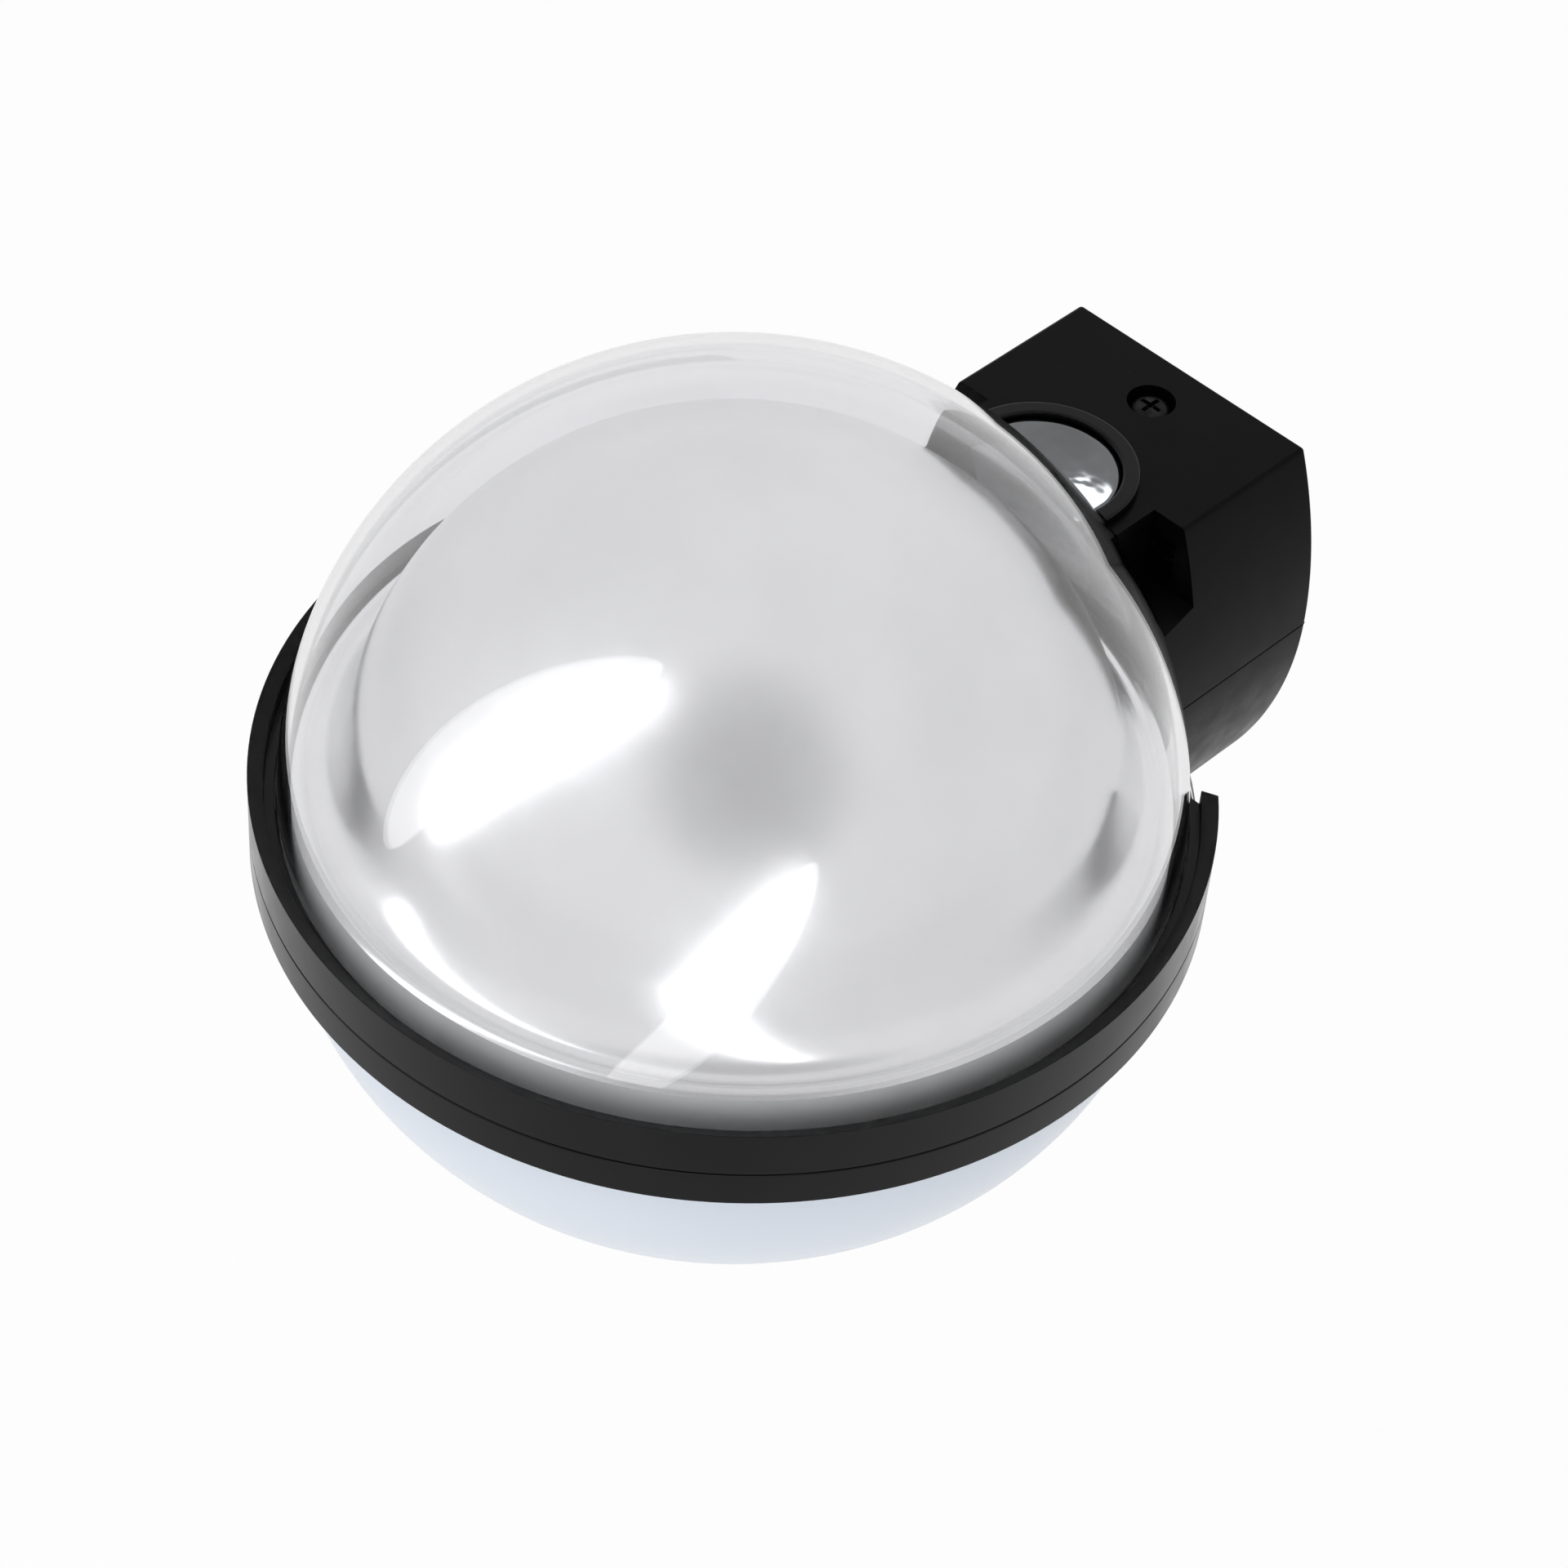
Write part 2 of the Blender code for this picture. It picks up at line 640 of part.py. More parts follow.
def make_chassis():
    disc = [(0.0, chassis_top), (flange_radius, chassis_top), (flange_radius, chassis_bottom),
            (0.0, chassis_bottom)]
    body = turned("chassis", disc, 40, "light_plastic", closed=False, centre=(0.0, axis_y, 0.0))
    step = gap / 3
    back = deck_back_y
    root = axis_y + flange_radius - root_lap
    add(body, box("tongue", (-tongue_half, root, chassis_bottom + step),
                  (tongue_half, back, chassis_top - step)))
    rib_top = chassis_top + tongue_rib_height
    front = axis_y + clear_radius + front_wall + past
    for side in (-1, 1):
        edges = sorted((side * (tongue_half - sink), side * (tongue_half - sink - tongue_rib)))
        add(body, box("tongue_rib", (edges[0], front, chassis_top - past), (edges[1], back - step, rib_top)))
    lift = strobe_board_z - gap
    low = strobe_screw_places(chassis_top - past)
    add(body, rods("standoffs", standoff_radius + standoff_wall, low, lift, 2))
    low = strobe_screw_places(chassis_top + past)
    cut(body, rods("standoff_pilots", medium_shank + gap, low, lift + past, 2))
    low = chassis_bottom - past
    cut(body, rods("tongue_holes", medium_shank + gap, chassis_screw_places(low), chassis_top + past, 2))
    lead_starts = [(side * post_spread, axis_y, low) for side in (-1, 1)]
    cut(body, rods("lead_holes", lead_radius + gap * 2, lead_starts, chassis_top + past, 2))
    cut(body, rod("cone_pilot", medium_shank + gap, (0.0, axis_y, low), chassis_top + past, 2))
    board_edge = axis_y + strobe_board_half_y
    right = harness_x + groove_half
    groove_low = (harness_x - groove_half, board_edge + harness_rise, low)
    cut(body, box("harness_groove", groove_low, (right, 0.0, chassis_bottom + groove_depth)))
    slot_low = (harness_x - groove_half, board_edge - 2 * past, low)
    cut(body, box("harness_slot", slot_low, (right, board_edge + harness_slot, chassis_top + past)))


# ---- strobe light -------------------------------------------------------------------------
def cone_height(radius):
    """Height of the reflector's outer face at a radius."""
    reach = max(radius - cone_crown, 0.0) / (cone_radius - cone_crown)
    return chassis_bottom - gap - cone_depth * reach * reach


def make_strobe_reflector():
    radii = [cone_crown + (cone_radius - cone_crown) * i / 5 for i in range(6)]
    outer = [(0.0, cone_height(0.0))] + [(r, cone_height(r)) for r in radii]
    inner = [(r, z - cone_wall) for r, z in reversed(outer)]
    body = turned("strobe_reflector", outer + inner, 28, "silvered_plastic", closed=False,
                  centre=(0.0, axis_y, 0.0))
    starts = [(side * post_spread, axis_y, chassis_bottom - cone_depth) for side in (-1, 1)]
    cut(body, rods("post_holes", post_radius + gap, starts, chassis_bottom, 2))
    cut(body, rod("cone_hole", medium_shank + gap, (0.0, axis_y, chassis_bottom - cone_depth), 0.0, 2))
    head_z = chassis_bottom - gap - cone_wall - gap - medium_head_thick
    screw("reflector_screw", (0.0, axis_y, head_z), 2, (medium_head, medium_head_thick),
          (medium_shank, chassis_thick), 1)


def make_flash_tube():
    top = chassis_bottom - tube_drop
    body = rod("flash_tube", tube_radius, (-tube_half_length, axis_y, top - tube_radius), tube_half_length, 0,
               "glass", 16)
    rounding = body.modifiers.new("sealed_ends", "BEVEL")
    rounding.width = tube_radius * 0.5
    rounding.segments = 2
    rounding.limit_method = "ANGLE"
    starts = [(side * post_spread, axis_y, top + gap) for side in (-1, 1)]
    for number, (x, y, z) in enumerate(starts, 1):
        post = rod("tube_post_%d" % number, post_radius, (x, y, z), chassis_bottom - gap, 2, "ceramic", 14)
        cut(post, rod("post_bore", lead_radius + gap, (x, y, z - past), chassis_bottom + past, 2, sides=10))
        rod("tube_lead_%d" % number, lead_radius, (x, y, z + gap), strobe_board_z - gap, 2, "copper", 8)


def make_strobe_circuit():
    low = (-strobe_board_half_x, axis_y - strobe_board_half_y, strobe_board_z)
    top = strobe_board_z + board_thick
    board = box("strobe_board", low, (strobe_board_half_x, axis_y + strobe_board_half_y, top), "board")
    holes = strobe_screw_places(low[2] - past)
    cut(board, rods("strobe_board_holes", medium_shank + gap, holes, top + past, 2))
    heads = strobe_screw_places(top + gap + medium_head_thick)
    screws("strobe_screw", heads, 2, (medium_head, medium_head_thick), (medium_shank, strobe_board_lift), -1)
    seat = top + gap
    start = (-strobe_board_half_x * 0.8, axis_y - capacitor_offset_y, seat + capacitor_radius)
    can = rod("storage_capacitor", capacitor_radius, start, start[0] + capacitor_length, 0,
              "capacitor_sleeve", 24)
    crimp = can.modifiers.new("crimp", "BEVEL")
    crimp.width = capacitor_radius * 0.12
    crimp.segments = 2
    crimp.limit_method = "ANGLE"
    corner = (strobe_board_half_x * 0.35, axis_y - capacitor_offset_y - coil_size[1] / 2, seat)
    far = [a + b for a, b in zip(corner, coil_size)]
    box("trigger_coil", corner, far, "ferrite")
    high = seat + inductor_height
    ring = [(inductor_radius, high), (inductor_radius, seat), (inductor_radius / 2, seat),
            (inductor_radius / 2, high)]
    place = (strobe_board_half_x * 0.5, axis_y + strobe_board_half_y * 0.4, 0.0)
    turned("power_inductor", ring, 20, "copper", centre=place)


# ---- bracket ------------------------------------------------------------------------------
def bracket_cavity(name, low, high, step_y, step_z):
    """What is hollow in a half of the bracket; the front part stops behind the globe's clearance."""
    room = prism(name, barrel(low, high, bracket_wall), step_y, past, 1)
    nose = prism(name + "_nose", barrel(low, step_z, bracket_wall), axis_y, step_y + sink, 1)
    cut(nose, globe_clearance(name + "_front", clear_radius + front_wall))
    return room, nose


def make_housing():
    shell = prism("bracket_housing", barrel(housing_bottom_z, bracket_top_z), front_reach_y, shell_back_y, 1,
                  "black_plastic")
    ledge = [(-bracket_depth - ledge_run, ledge_front_z), (-bracket_depth, ledge_back_z),
             (-bracket_depth, bracket_top_z + past), (-bracket_depth - ledge_run, bracket_top_z + past)]
    cut(shell, prism("notch_right", ledge, neck_half, bracket_half + past, 0))
    cut(shell, prism("notch_left", ledge, -bracket_half - past, -neck_half, 0))
    cut(shell, globe_clearance("globe_clearance", clear_radius))
    deck_low = deck_top_z - deck_thick
    room, nose = bracket_cavity("housing_room", housing_bottom_z - past, bracket_top_z - bracket_wall,
                                -bracket_depth + bracket_wall, deck_low - gap / 2)
    cut(shell, room, nose)
    deck_front = -bracket_depth + bracket_wall - deck_lap
    add(shell, box("deck", (-neck_half, deck_front, deck_low), (neck_half, deck_back_y, deck_top_z)))
    boss_low = chassis_top + gap
    bosses = chassis_screw_places(boss_low)
    add(shell, rods("tongue_bosses", tongue_boss_radius, bosses, deck_top_z - past, 2))
    foot = (0.0, lock_y, lock_floor_z)
    add(shell, rod("lock_boss", lock_head + lock_boss_wall, foot, bracket_top_z - past, 2, sides=24))
    make_housing_cuts(shell, boss_low)
    for y in (knuckle_end_y, knuckle_far_y + knuckle_length):
        add_knuckle(shell, y - knuckle_length, y, 1)
    hole = (hinge_x, -bracket_depth, bracket_seam_z)
    cut(shell, rod("housing_pin_hole", pin_radius + running_gap, hole, 0.0, 1))


def make_housing_cuts(shell, boss_low):
    well = (0.0, button_centre_y, deck_top_z)
    cut(shell, rod("button_well", button_radius + gap, well, bracket_top_z + past, 2, sides=48))
    stem_hole = (0.0, stem_y, 0.0)
    cut(shell, rod("stem_hole", stem_radius + gap, stem_hole, deck_top_z + past, 2))
    pilots = chassis_screw_places(boss_low - past)
    cut(shell, rods("tongue_pilots", medium_shank + gap, pilots, deck_top_z - deck_thick - past, 2))
    well_floor = bracket_top_z - lock_well_depth
    cut(shell, rod("lock_well", lock_head + lock_well_air, (0.0, lock_y, well_floor), bracket_top_z + past, 2,
                   sides=24))
    cut(shell, rod("lock_hole", lock_shank + gap, (0.0, lock_y, lock_floor_z - past), bracket_top_z, 2))
    notch_top = chassis_top + gap
    notch = box("tongue_notch", (-tongue_half - gap, axis_y, housing_bottom_z - past),
                (tongue_half + gap, deck_back_y - tongue_notch_back, notch_top))
    cut(shell, notch)
    for side in (-1, 1):
        near, far = sorted((side * port_inner_x, side * (port_inner_x + port_width)))
        cut(shell, box("sound_port", (near, -bracket_depth - past, port_bottom_z),
                       (far, -bracket_depth + bracket_wall + past, port_bottom_z + port_height)))


def add_knuckle(shell, low_y, high_y, side):
    """A hinge knuckle and the web that carries it; side is 1 above the seam and -1 below."""
    near = bracket_seam_z + side * hinge_web * 0.45
    far = near + side * hinge_web
    web_low = (hinge_x, low_y + running_gap, min(near, far))
    web_high = (-bracket_half + bracket_wall * 0.6, high_y - running_gap, max(near, far))
    add(shell, rod("knuckle", knuckle_radius, (hinge_x, low_y, bracket_seam_z), high_y, 1, sides=16))
    add(shell, box("knuckle_web", web_low, web_high))


def make_terminal_cover():
    shell = prism("terminal_cover", barrel(bracket_bottom_z, cover_top_z), front_reach_y, shell_back_y, 1,
                  "black_plastic")
    cut(shell, globe_clearance("cover_clearance", clear_radius))
    floor = bracket_bottom_z + bracket_wall
    room, nose = bracket_cavity("cover_room", floor, cover_top_z + past, -bracket_depth + bracket_wall,
                                cover_top_z + past)
    cut(shell, room, nose)
    knock_out = (0.0, -bracket_depth / 2, bracket_bottom_z - past)
    knock_top = bracket_bottom_z + bracket_wall * 0.3
    cut(shell, rod("knock_out", cable_hole_radius, knock_out, knock_top, 2, sides=24))
    add_knuckle(shell, knuckle_far_y + knuckle_length + gap, knuckle_end_y - knuckle_length - gap, -1)
    hole = (hinge_x, -bracket_depth, bracket_seam_z)
    cut(shell, rod("cover_pin_hole", pin_radius + running_gap, hole, 0.0, 1))
    set_origin(shell, (hinge_x, 0.0, bracket_seam_z))
    start = (hinge_x, knuckle_far_y - past, bracket_seam_z)
    rod("hinge_pin", pin_radius, start, knuckle_end_y + past, 1, "zinc")


def make_lock_screw():
    head_top = bracket_top_z - lock_well_depth + gap + lock_head_thick
    reach = head_top - lock_head_thick - lock_lug_top_z + lock_lug_thick * 0.7
    body = screw("lock_screw", (0.0, lock_y, head_top), 2, (lock_head, lock_head_thick),
                 (lock_shank, reach), -1, "black_steel")
    slot = lock_head * 0.11
    for half_x, half_y in ((lock_head * 0.6, slot), (slot, lock_head * 0.6)):
        cut(body, box("drive_slot", (-half_x, lock_y - half_y, head_top - lock_drive_deep),
                      (half_x, lock_y + half_y, head_top + past)))


def make_chassis_screws():
    head_z = chassis_bottom - gap - medium_head_thick
    screws("chassis_screw", chassis_screw_places(head_z), 2, (medium_head, medium_head_thick),
           (medium_shank, chassis_thick + strobe_board_lift), 1)


# ---- button -------------------------------------------------------------------------------
def make_test_button():
    top = bracket_top_z + button_proud
    pad = rod("test_button", button_radius, (0.0, button_centre_y, button_skirt_z), top, 2, "chrome", 48)
    front = dome_radius + dome_air
    cut(pad, globe_clearance("button_front", front, button_travel))
    inside = rod("button_inside", button_radius - button_wall, (0.0, button_centre_y, button_skirt_z - past),
                 top - button_wall, 2, sides=32)
    cut(inside, globe_clearance("button_inside_front", front + button_wall, button_travel))
    cut(pad, inside)
    boss_top = top - button_wall / 2
    add(pad, rod("button_boss", button_boss_radius, (0.0, stem_y, button_boss_z), boss_top, 2))
    stem_low = switch_top_z + gap + button_travel
    add(pad, rod("button_stem", stem_radius, (0.0, stem_y, stem_low), button_boss_z + past, 2))
    set_origin(pad, (0.0, stem_y, top))


def make_bezel():
    base = bracket_top_z + gap
    top = base + bezel_height
    ring = [(bezel_radius - bezel_edge, top), (bezel_radius, top - bezel_edge),
            (bezel_radius, base), (button_radius + gap, base), (button_radius + gap, top)]
    body = turned("pad_bezel", ring, 48, "black_plastic", centre=(0.0, button_centre_y, 0.0))
    cut(body, globe_clearance("bezel_front", clear_radius))


def make_button_spring():
    low = deck_top_z + gap + spring_wire
    high = button_boss_z - gap - spring_wire
    points = []
    for i in range(spring_turns * spring_points + 1):
        angle = 2 * math.pi * i / spring_points
        rise = low + (high - low) * i / (spring_turns * spring_points)
        points.append((spring_radius * math.cos(angle), stem_y + spring_radius * math.sin(angle), rise))
    tube("test_spring", points, spring_wire, "zinc", corner=1)


def make_switch():
    half = switch_side / 2
    back = deck_back_y - front_wall
    front = axis_y + clear_radius + front_wall + 2 * gap
    top = switch_board_z + board_thick
    box("switch_board", (-switch_board_half, front, switch_board_z), (switch_board_half, back, top), "board")
    seat = top + gap
    body = box("test_switch", (-half, stem_y - half, seat), (half, stem_y + half, seat + switch_height),
               "grey_plastic")
    add(body, rod("switch_cap", switch_cap_radius, (0.0, stem_y, seat + switch_height / 2), switch_top_z, 2))


# ---- wall plate ---------------------------------------------------------------------------
def control_screw_places(y):
    x = control_half - board_screw_inset
    inset = board_screw_inset / 1.6
    return [(-x, y, control_bottom_z + inset), (x, y, control_bottom_z + inset)]


def make_wall_plate():
    body = prism("wall_plate", plate_outline(), plate_front_y, 0.0, 1, "black_plastic")
    root = plate_front_y + sink
    posts = [(side * post_x, horn_face_y, horn_z) for side in (-1, 1)]
    add(body, rods("horn_posts", post_width, posts, root, 1))
    cut(body, rods("post_pilots", small_shank + gap, [(x, y - past, z) for x, y, z in posts],
                   horn_face_y + baffle_screw, 1))
    stands = control_screw_places(plate_front_y - control_lift + gap)
    add(body, rods("board_stands", standoff_radius, stands, root, 1))
    cut(body, rods("stand_pilots", small_shank + gap, [(x, y - past, z) for x, y, z in stands],
                   plate_front_y + past, 1))
    lug_low = (-lock_lug_half, lock_y - lock_lug_half, lock_lug_top_z - lock_lug_thick)
    add(body, box("lock_lug", lug_low, (lock_lug_half, root, lock_lug_top_z)))
    hole = (0.0, lock_y, lug_low[2] - past)
    cut(body, rod("lug_hole", lock_shank + gap, hole, lock_lug_top_z + past, 2))
    hole = (0.0, plate_front_y - past, cable_hole_z)
    cut(body, rod("cable_hole", cable_hole_radius, hole, past, 1, sides=24))
    for number, side in enumerate((-1, 1)):
        cut(body, wall_slot(number, side * slot_x, bracket_seam_z))


def wall_slot(number, x, z):
    """A screw slot: two round ends and straight sides, level."""
    outline = []
    for side in (1, -1):
        for step in range(7):
            angle = math.radians(-90 + 30 * step) + (0.0 if side > 0 else math.pi)
            outline.append((x + side * slot_run / 2 + slot_radius * math.cos(angle),
                            z + slot_radius * math.sin(angle)))
    return prism("wall_slot_%d" % number, outline, plate_front_y - past, past, 1)


def make_grommet():
    hole = cable_hole_radius - gap
    front = plate_thick + gap + grommet_lip
    back = gap
    seat = plate_thick + gap
    ring = [(grommet_flange, front), (grommet_flange, seat), (hole, seat), (hole, back), (grommet_bore, back),
            (grommet_bore, front)]
    turned("cable_grommet", ring, 28, "black_rubber", centre=(0.0, 0.0, cable_hole_z), tilt=math.pi / 2)


# ---- horn ---------------------------------------------------------------------------------
def make_horn():
    back_y = horn_face_y - gap
    front_y = back_y - baffle_thick
    plate = box("horn_baffle", (-baffle_half, front_y, horn_z - baffle_half_height),
                (baffle_half, back_y, horn_z + baffle_half_height), "grey_plastic")
    cut(plate, rod("throat", horn_throat, (0.0, front_y - past, horn_z), back_y + past, 1, sides=32))
    holes = [(side * post_x, front_y - past, horn_z) for side in (-1, 1)]
    cut(plate, rods("baffle_holes", small_shank + gap, holes, back_y + past, 1))
    heads = [(side * post_x, front_y - gap - small_head_thick, horn_z) for side in (-1, 1)]
    screws("baffle_screw", heads, 1, (small_head, small_head_thick), (small_shank, baffle_screw), 1)
    face = -horn_face_y
    rear = face - horn_depth
    hub = voice_coil_radius - horn_hub_step
    frame = [(horn_radius, face), (horn_radius, rear), (hub, rear), (hub, rear + horn_wall),
             (horn_radius - horn_wall, rear + horn_wall), (horn_radius - horn_wall, face)]
    turned("horn_frame", frame, 24, "zinc", centre=(0.0, 0.0, horn_z), tilt=math.pi / 2)
    magnet_y = -rear + gap
    rod("horn_magnet", magnet_radius, (0.0, magnet_y, horn_z), magnet_y + magnet_length, 1, "ferrite", 24)
    make_diaphragm(face)


def make_diaphragm(face):
    seat = face - cone_disc_setback
    radii = [cone_disc_radius * i / 3 for i in range(4)]
    outer = [(r, seat + cone_disc_bulge * (1 - (r / cone_disc_radius) ** 2)) for r in radii]
    inner = [(r, z - cone_disc_thick) for r, z in reversed(outer)]
    turned("horn_diaphragm", outer + inner, 20, "ceramic", closed=False, centre=(0.0, 0.0, horn_z),
           tilt=math.pi / 2)
    top = seat - gap - cone_disc_thick
    low = top - voice_coil_length
    bore = voice_coil_radius - voice_coil_wall
    coil = [(voice_coil_radius, top), (voice_coil_radius, low), (bore, low), (bore, top)]
    turned("voice_coil", coil, 20, "copper", centre=(0.0, 0.0, horn_z), tilt=math.pi / 2)


def make_port_meshes():
    """Slotted meshes behind the sound ports, one each side."""
    back = -bracket_depth + bracket_wall + gap
    low = port_bottom_z - mesh_edge
    high = port_bottom_z + port_height + mesh_edge
    pitch = port_height / mesh_slots
    for name, side in (("port_mesh_left", -1), ("port_mesh_right", 1)):
        near, far = sorted((side * (port_inner_x - mesh_edge), side * (port_inner_x + port_width + gap)))
        body = box(name, (near, back, low), (far, back + mesh_thick, high), "black_steel")
        for number in range(mesh_slots):
            z = port_bottom_z + pitch * (number + 0.5)
            cut(body, box("mesh_slot", (near + mesh_edge, back - past, z - mesh_slot / 2),
                          (far - mesh_edge, back + 2 * past, z + mesh_slot / 2)))


# ---- control board ------------------------------------------------------------------------
def make_control_board():
    back = board_face_y + board_thick
    board = box("control_board", (-control_half, board_face_y, control_bottom_z),
                (control_half, back, control_top_z), "board")
    starts = control_screw_places(board_face_y - past)
    cut(board, rods("control_holes", small_shank + gap, starts, back + past, 1))
    heads = control_screw_places(board_face_y - gap - small_head_thick)
    shank = (small_shank, board_thick + control_lift)
    screws("board_screw", heads, 1, (small_head, small_head_thick), shank, 1)


def make_terminal_block():
    back = board_face_y - gap
    front = back - block_depth
    top = block_bottom_z + block_height
    body = box("terminal_block", (-block_half, front, block_bottom_z), (block_half, back, top),
               "green_plastic")
    pitch = 2 * block_half / block_poles
    places = [-block_half + pitch * (i + 0.5) for i in range(block_poles)]
    screw_z = block_bottom_z + block_height * 0.55
    wells = [(x, front - past, screw_z) for x in places]
    cut(body, rods("pole_wells", pole_screw + gap, wells, front + pole_deep, 1, sides=12))
    for x in places:
        side = pitch * 0.27
        cut(body, box("wire_way", (x - side, front + wire_way_start, block_bottom_z - past),
                      (x + side, front + wire_way_end, block_bottom_z + block_height * 0.6)))
    for number, x in enumerate(places, 1):
        start = (x, front + gap, screw_z)
        rod("terminal_screw_%d" % number, pole_screw, start, front + pole_deep - gap, 1, "zinc", 12)


def make_selector():
    back = board_face_y - gap
    front = back - selector_depth
    half = selector_length / 2
    body = box("candela_switch", (selector_x - half, front, selector_z - selector_height / 2),
               (selector_x + half, back, selector_z + selector_height / 2), "grey_plastic")
    room = (slider_travel + slider_length) / 2 + gap
    deep = front + selector_depth * 0.4
    slot_half = slider_height / 2 + gap
    cut(body, box("selector_slot", (selector_x - room, front - past, selector_z - slot_half),
                  (selector_x + room, deep, selector_z + slot_half)))
    start = selector_x - room + gap
    low = (start, front - slider_proud, selector_z - slider_height / 2)
    knob = box("candela_slider", low, (start + slider_length, deep - gap, selector_z + slider_height / 2),
               "red_lead")
    set_origin(knob, (start + slider_length / 2, front, selector_z))


def make_volume_dial():
    back = board_face_y - gap
    base = back - dial_base_depth
    rod("volume_base", dial_base_radius, (dial_x, back, selector_z), base, 1, "grey_plastic", 24)
    rear = base - gap
    front = rear - dial_depth
    dial = rod("volume_dial", dial_radius, (dial_x, front, selector_z), rear, 1, "light_plastic", 20)
    half = dial_radius * 0.14
    cut(dial, box("dial_slot", (dial_x - dial_radius * 0.8, front - past, selector_z - half),
                  (dial_x + dial_radius * 0.8, front + dial_slot_deep, selector_z + half)))
    set_origin(dial, (dial_x, rear, selector_z))


def smooth_run(knots, steps):
    """Points on a Catmull-Rom curve through the knots."""
    run = []
    for i in range(len(knots) - 1):
        a, b = knots[max(i - 1, 0)], knots[i]
        c, d = knots[i + 1], knots[min(i + 2, len(knots) - 1)]
        for step in range(steps):
            t = step / steps
            run.append(tuple(0.5 * (2 * q + (r - p) * t + (2 * p - 5 * q + 4 * r - s) * t * t
                                    + (3 * q - p - 3 * r + s) * t ** 3) for p, q, r, s in zip(a, b, c, d)))
    return run + [knots[-1]]


def make_harness():
    """The lead from the control board, along the groove under the tongue, to the strobe board."""
    groove_z = chassis_bottom + groove_depth - gap - harness_radius
    board_edge = axis_y + strobe_board_half_y
    board_mid = strobe_board_z + board_thick / 2
    start_y = board_face_y - gap
    bend, rise = harness_bend, harness_rise
    path = [(start_y, selector_z), (start_y - bend - gap * 3, selector_z),
            (deck_back_y + bend * 2.5, selector_z + bend / 2), (deck_back_y + rise, groove_z - bend),
            (deck_back_y - rise, groove_z - gap * 4), (past - bracket_depth, groove_z),
            (board_edge + harness_slot + bend, groove_z), (board_edge + rise * 3, groove_z + gap * 3),
            (board_edge + rise * 2 + sink, board_mid - bend), (board_edge + rise, board_mid),
            (board_edge + gap * 2, board_mid)]
    knots = [(harness_x, y, z) for y, z in path]
    tube("wire_harness", smooth_run(knots, 4), harness_radius, "red_lead", corner=1)


def main():
    clear_scene()
    make_upper_dome()
    make_reflector_cover()
    make_bands()
    make_lower_bowl()
    make_gaskets()
    make_chassis()
    make_strobe_reflector()
    make_flash_tube()
    make_strobe_circuit()
    make_housing()
    make_terminal_cover()
    make_lock_screw()
    make_chassis_screws()
    make_test_button()
    make_bezel()
    make_button_spring()
    make_switch()
    make_wall_plate()
    make_grommet()
    make_horn()
    make_port_meshes()
    make_control_board()
    make_terminal_block()
    make_selector()
    make_volume_dial()
    make_harness()


main()
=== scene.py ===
import json
import math

import bmesh
import bpy
from mathutils import Matrix, Vector


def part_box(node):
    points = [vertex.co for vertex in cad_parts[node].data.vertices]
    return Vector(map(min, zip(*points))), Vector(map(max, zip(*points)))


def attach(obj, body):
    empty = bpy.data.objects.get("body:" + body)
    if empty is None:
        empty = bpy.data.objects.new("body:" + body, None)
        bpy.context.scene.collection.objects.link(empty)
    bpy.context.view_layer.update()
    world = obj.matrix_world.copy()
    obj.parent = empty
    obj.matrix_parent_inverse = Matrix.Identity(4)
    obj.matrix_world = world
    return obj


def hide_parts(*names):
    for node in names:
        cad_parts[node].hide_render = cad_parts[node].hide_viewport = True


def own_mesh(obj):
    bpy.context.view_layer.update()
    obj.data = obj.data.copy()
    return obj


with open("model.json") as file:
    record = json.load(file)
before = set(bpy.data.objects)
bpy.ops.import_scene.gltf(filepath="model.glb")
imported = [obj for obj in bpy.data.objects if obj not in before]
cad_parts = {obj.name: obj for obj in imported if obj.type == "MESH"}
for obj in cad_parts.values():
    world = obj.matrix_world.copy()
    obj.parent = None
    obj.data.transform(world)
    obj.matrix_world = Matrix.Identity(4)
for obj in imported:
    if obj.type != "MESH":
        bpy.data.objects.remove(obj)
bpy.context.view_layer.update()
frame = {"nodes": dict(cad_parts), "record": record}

print("frame loaded:", len(frame["nodes"]), "nodes")
mm = 0.001
gap = 0.3 * mm    # between touching pieces, as in the solids
past = 1 * mm    # how far a shape that cuts reaches beyond what it cuts
fine = 0.001 * mm    # points closer than this are one point
roundSteps = 160    # flat sides that stand for a turn of the globe's pieces


# colour and node helpers
def linear(hexColour):
    parts = [int(hexColour[i:i + 2], 16) / 255 for i in (1, 3, 5)]
    return tuple(p / 12.92 if p <= 0.04045 else ((p + 0.055) / 1.055) ** 2.4 for p in parts) + (1.0,)


def addNode(tree, kind, settings=None, **links):
    made = tree.nodes.new(kind)
    for name, value in (settings or {}).items():
        if name in made.inputs:
            made.inputs[name].default_value = value
        else:
            setattr(made, name, value)
    for name, source in links.items():
        tree.links.new(source, made.inputs[name.replace("_", " ")])
    return made


def newMaterial(name):
    made = bpy.data.materials.new(name)
    made.use_nodes = True
    made.node_tree.nodes.clear()
    return made, made.node_tree


noiseLow, noiseHigh = 0.3, 0.7    # nearly all of a noise lies between these
roughShare = 0.37    # size of the patches of roughness against those of tone
reliefDetail = 2.0    # the relief is smoother than the tones


def patches(tree, size, detail=3.0):    # soft noise whose patches are about this size, in metres
    place = addNode(tree, "ShaderNodeTexCoord").outputs["Object"]
    return addNode(tree, "ShaderNodeTexNoise", {"Scale": 1 / size, "Detail": detail, "Roughness": 0.5},
                   Vector=place).outputs["Fac"]


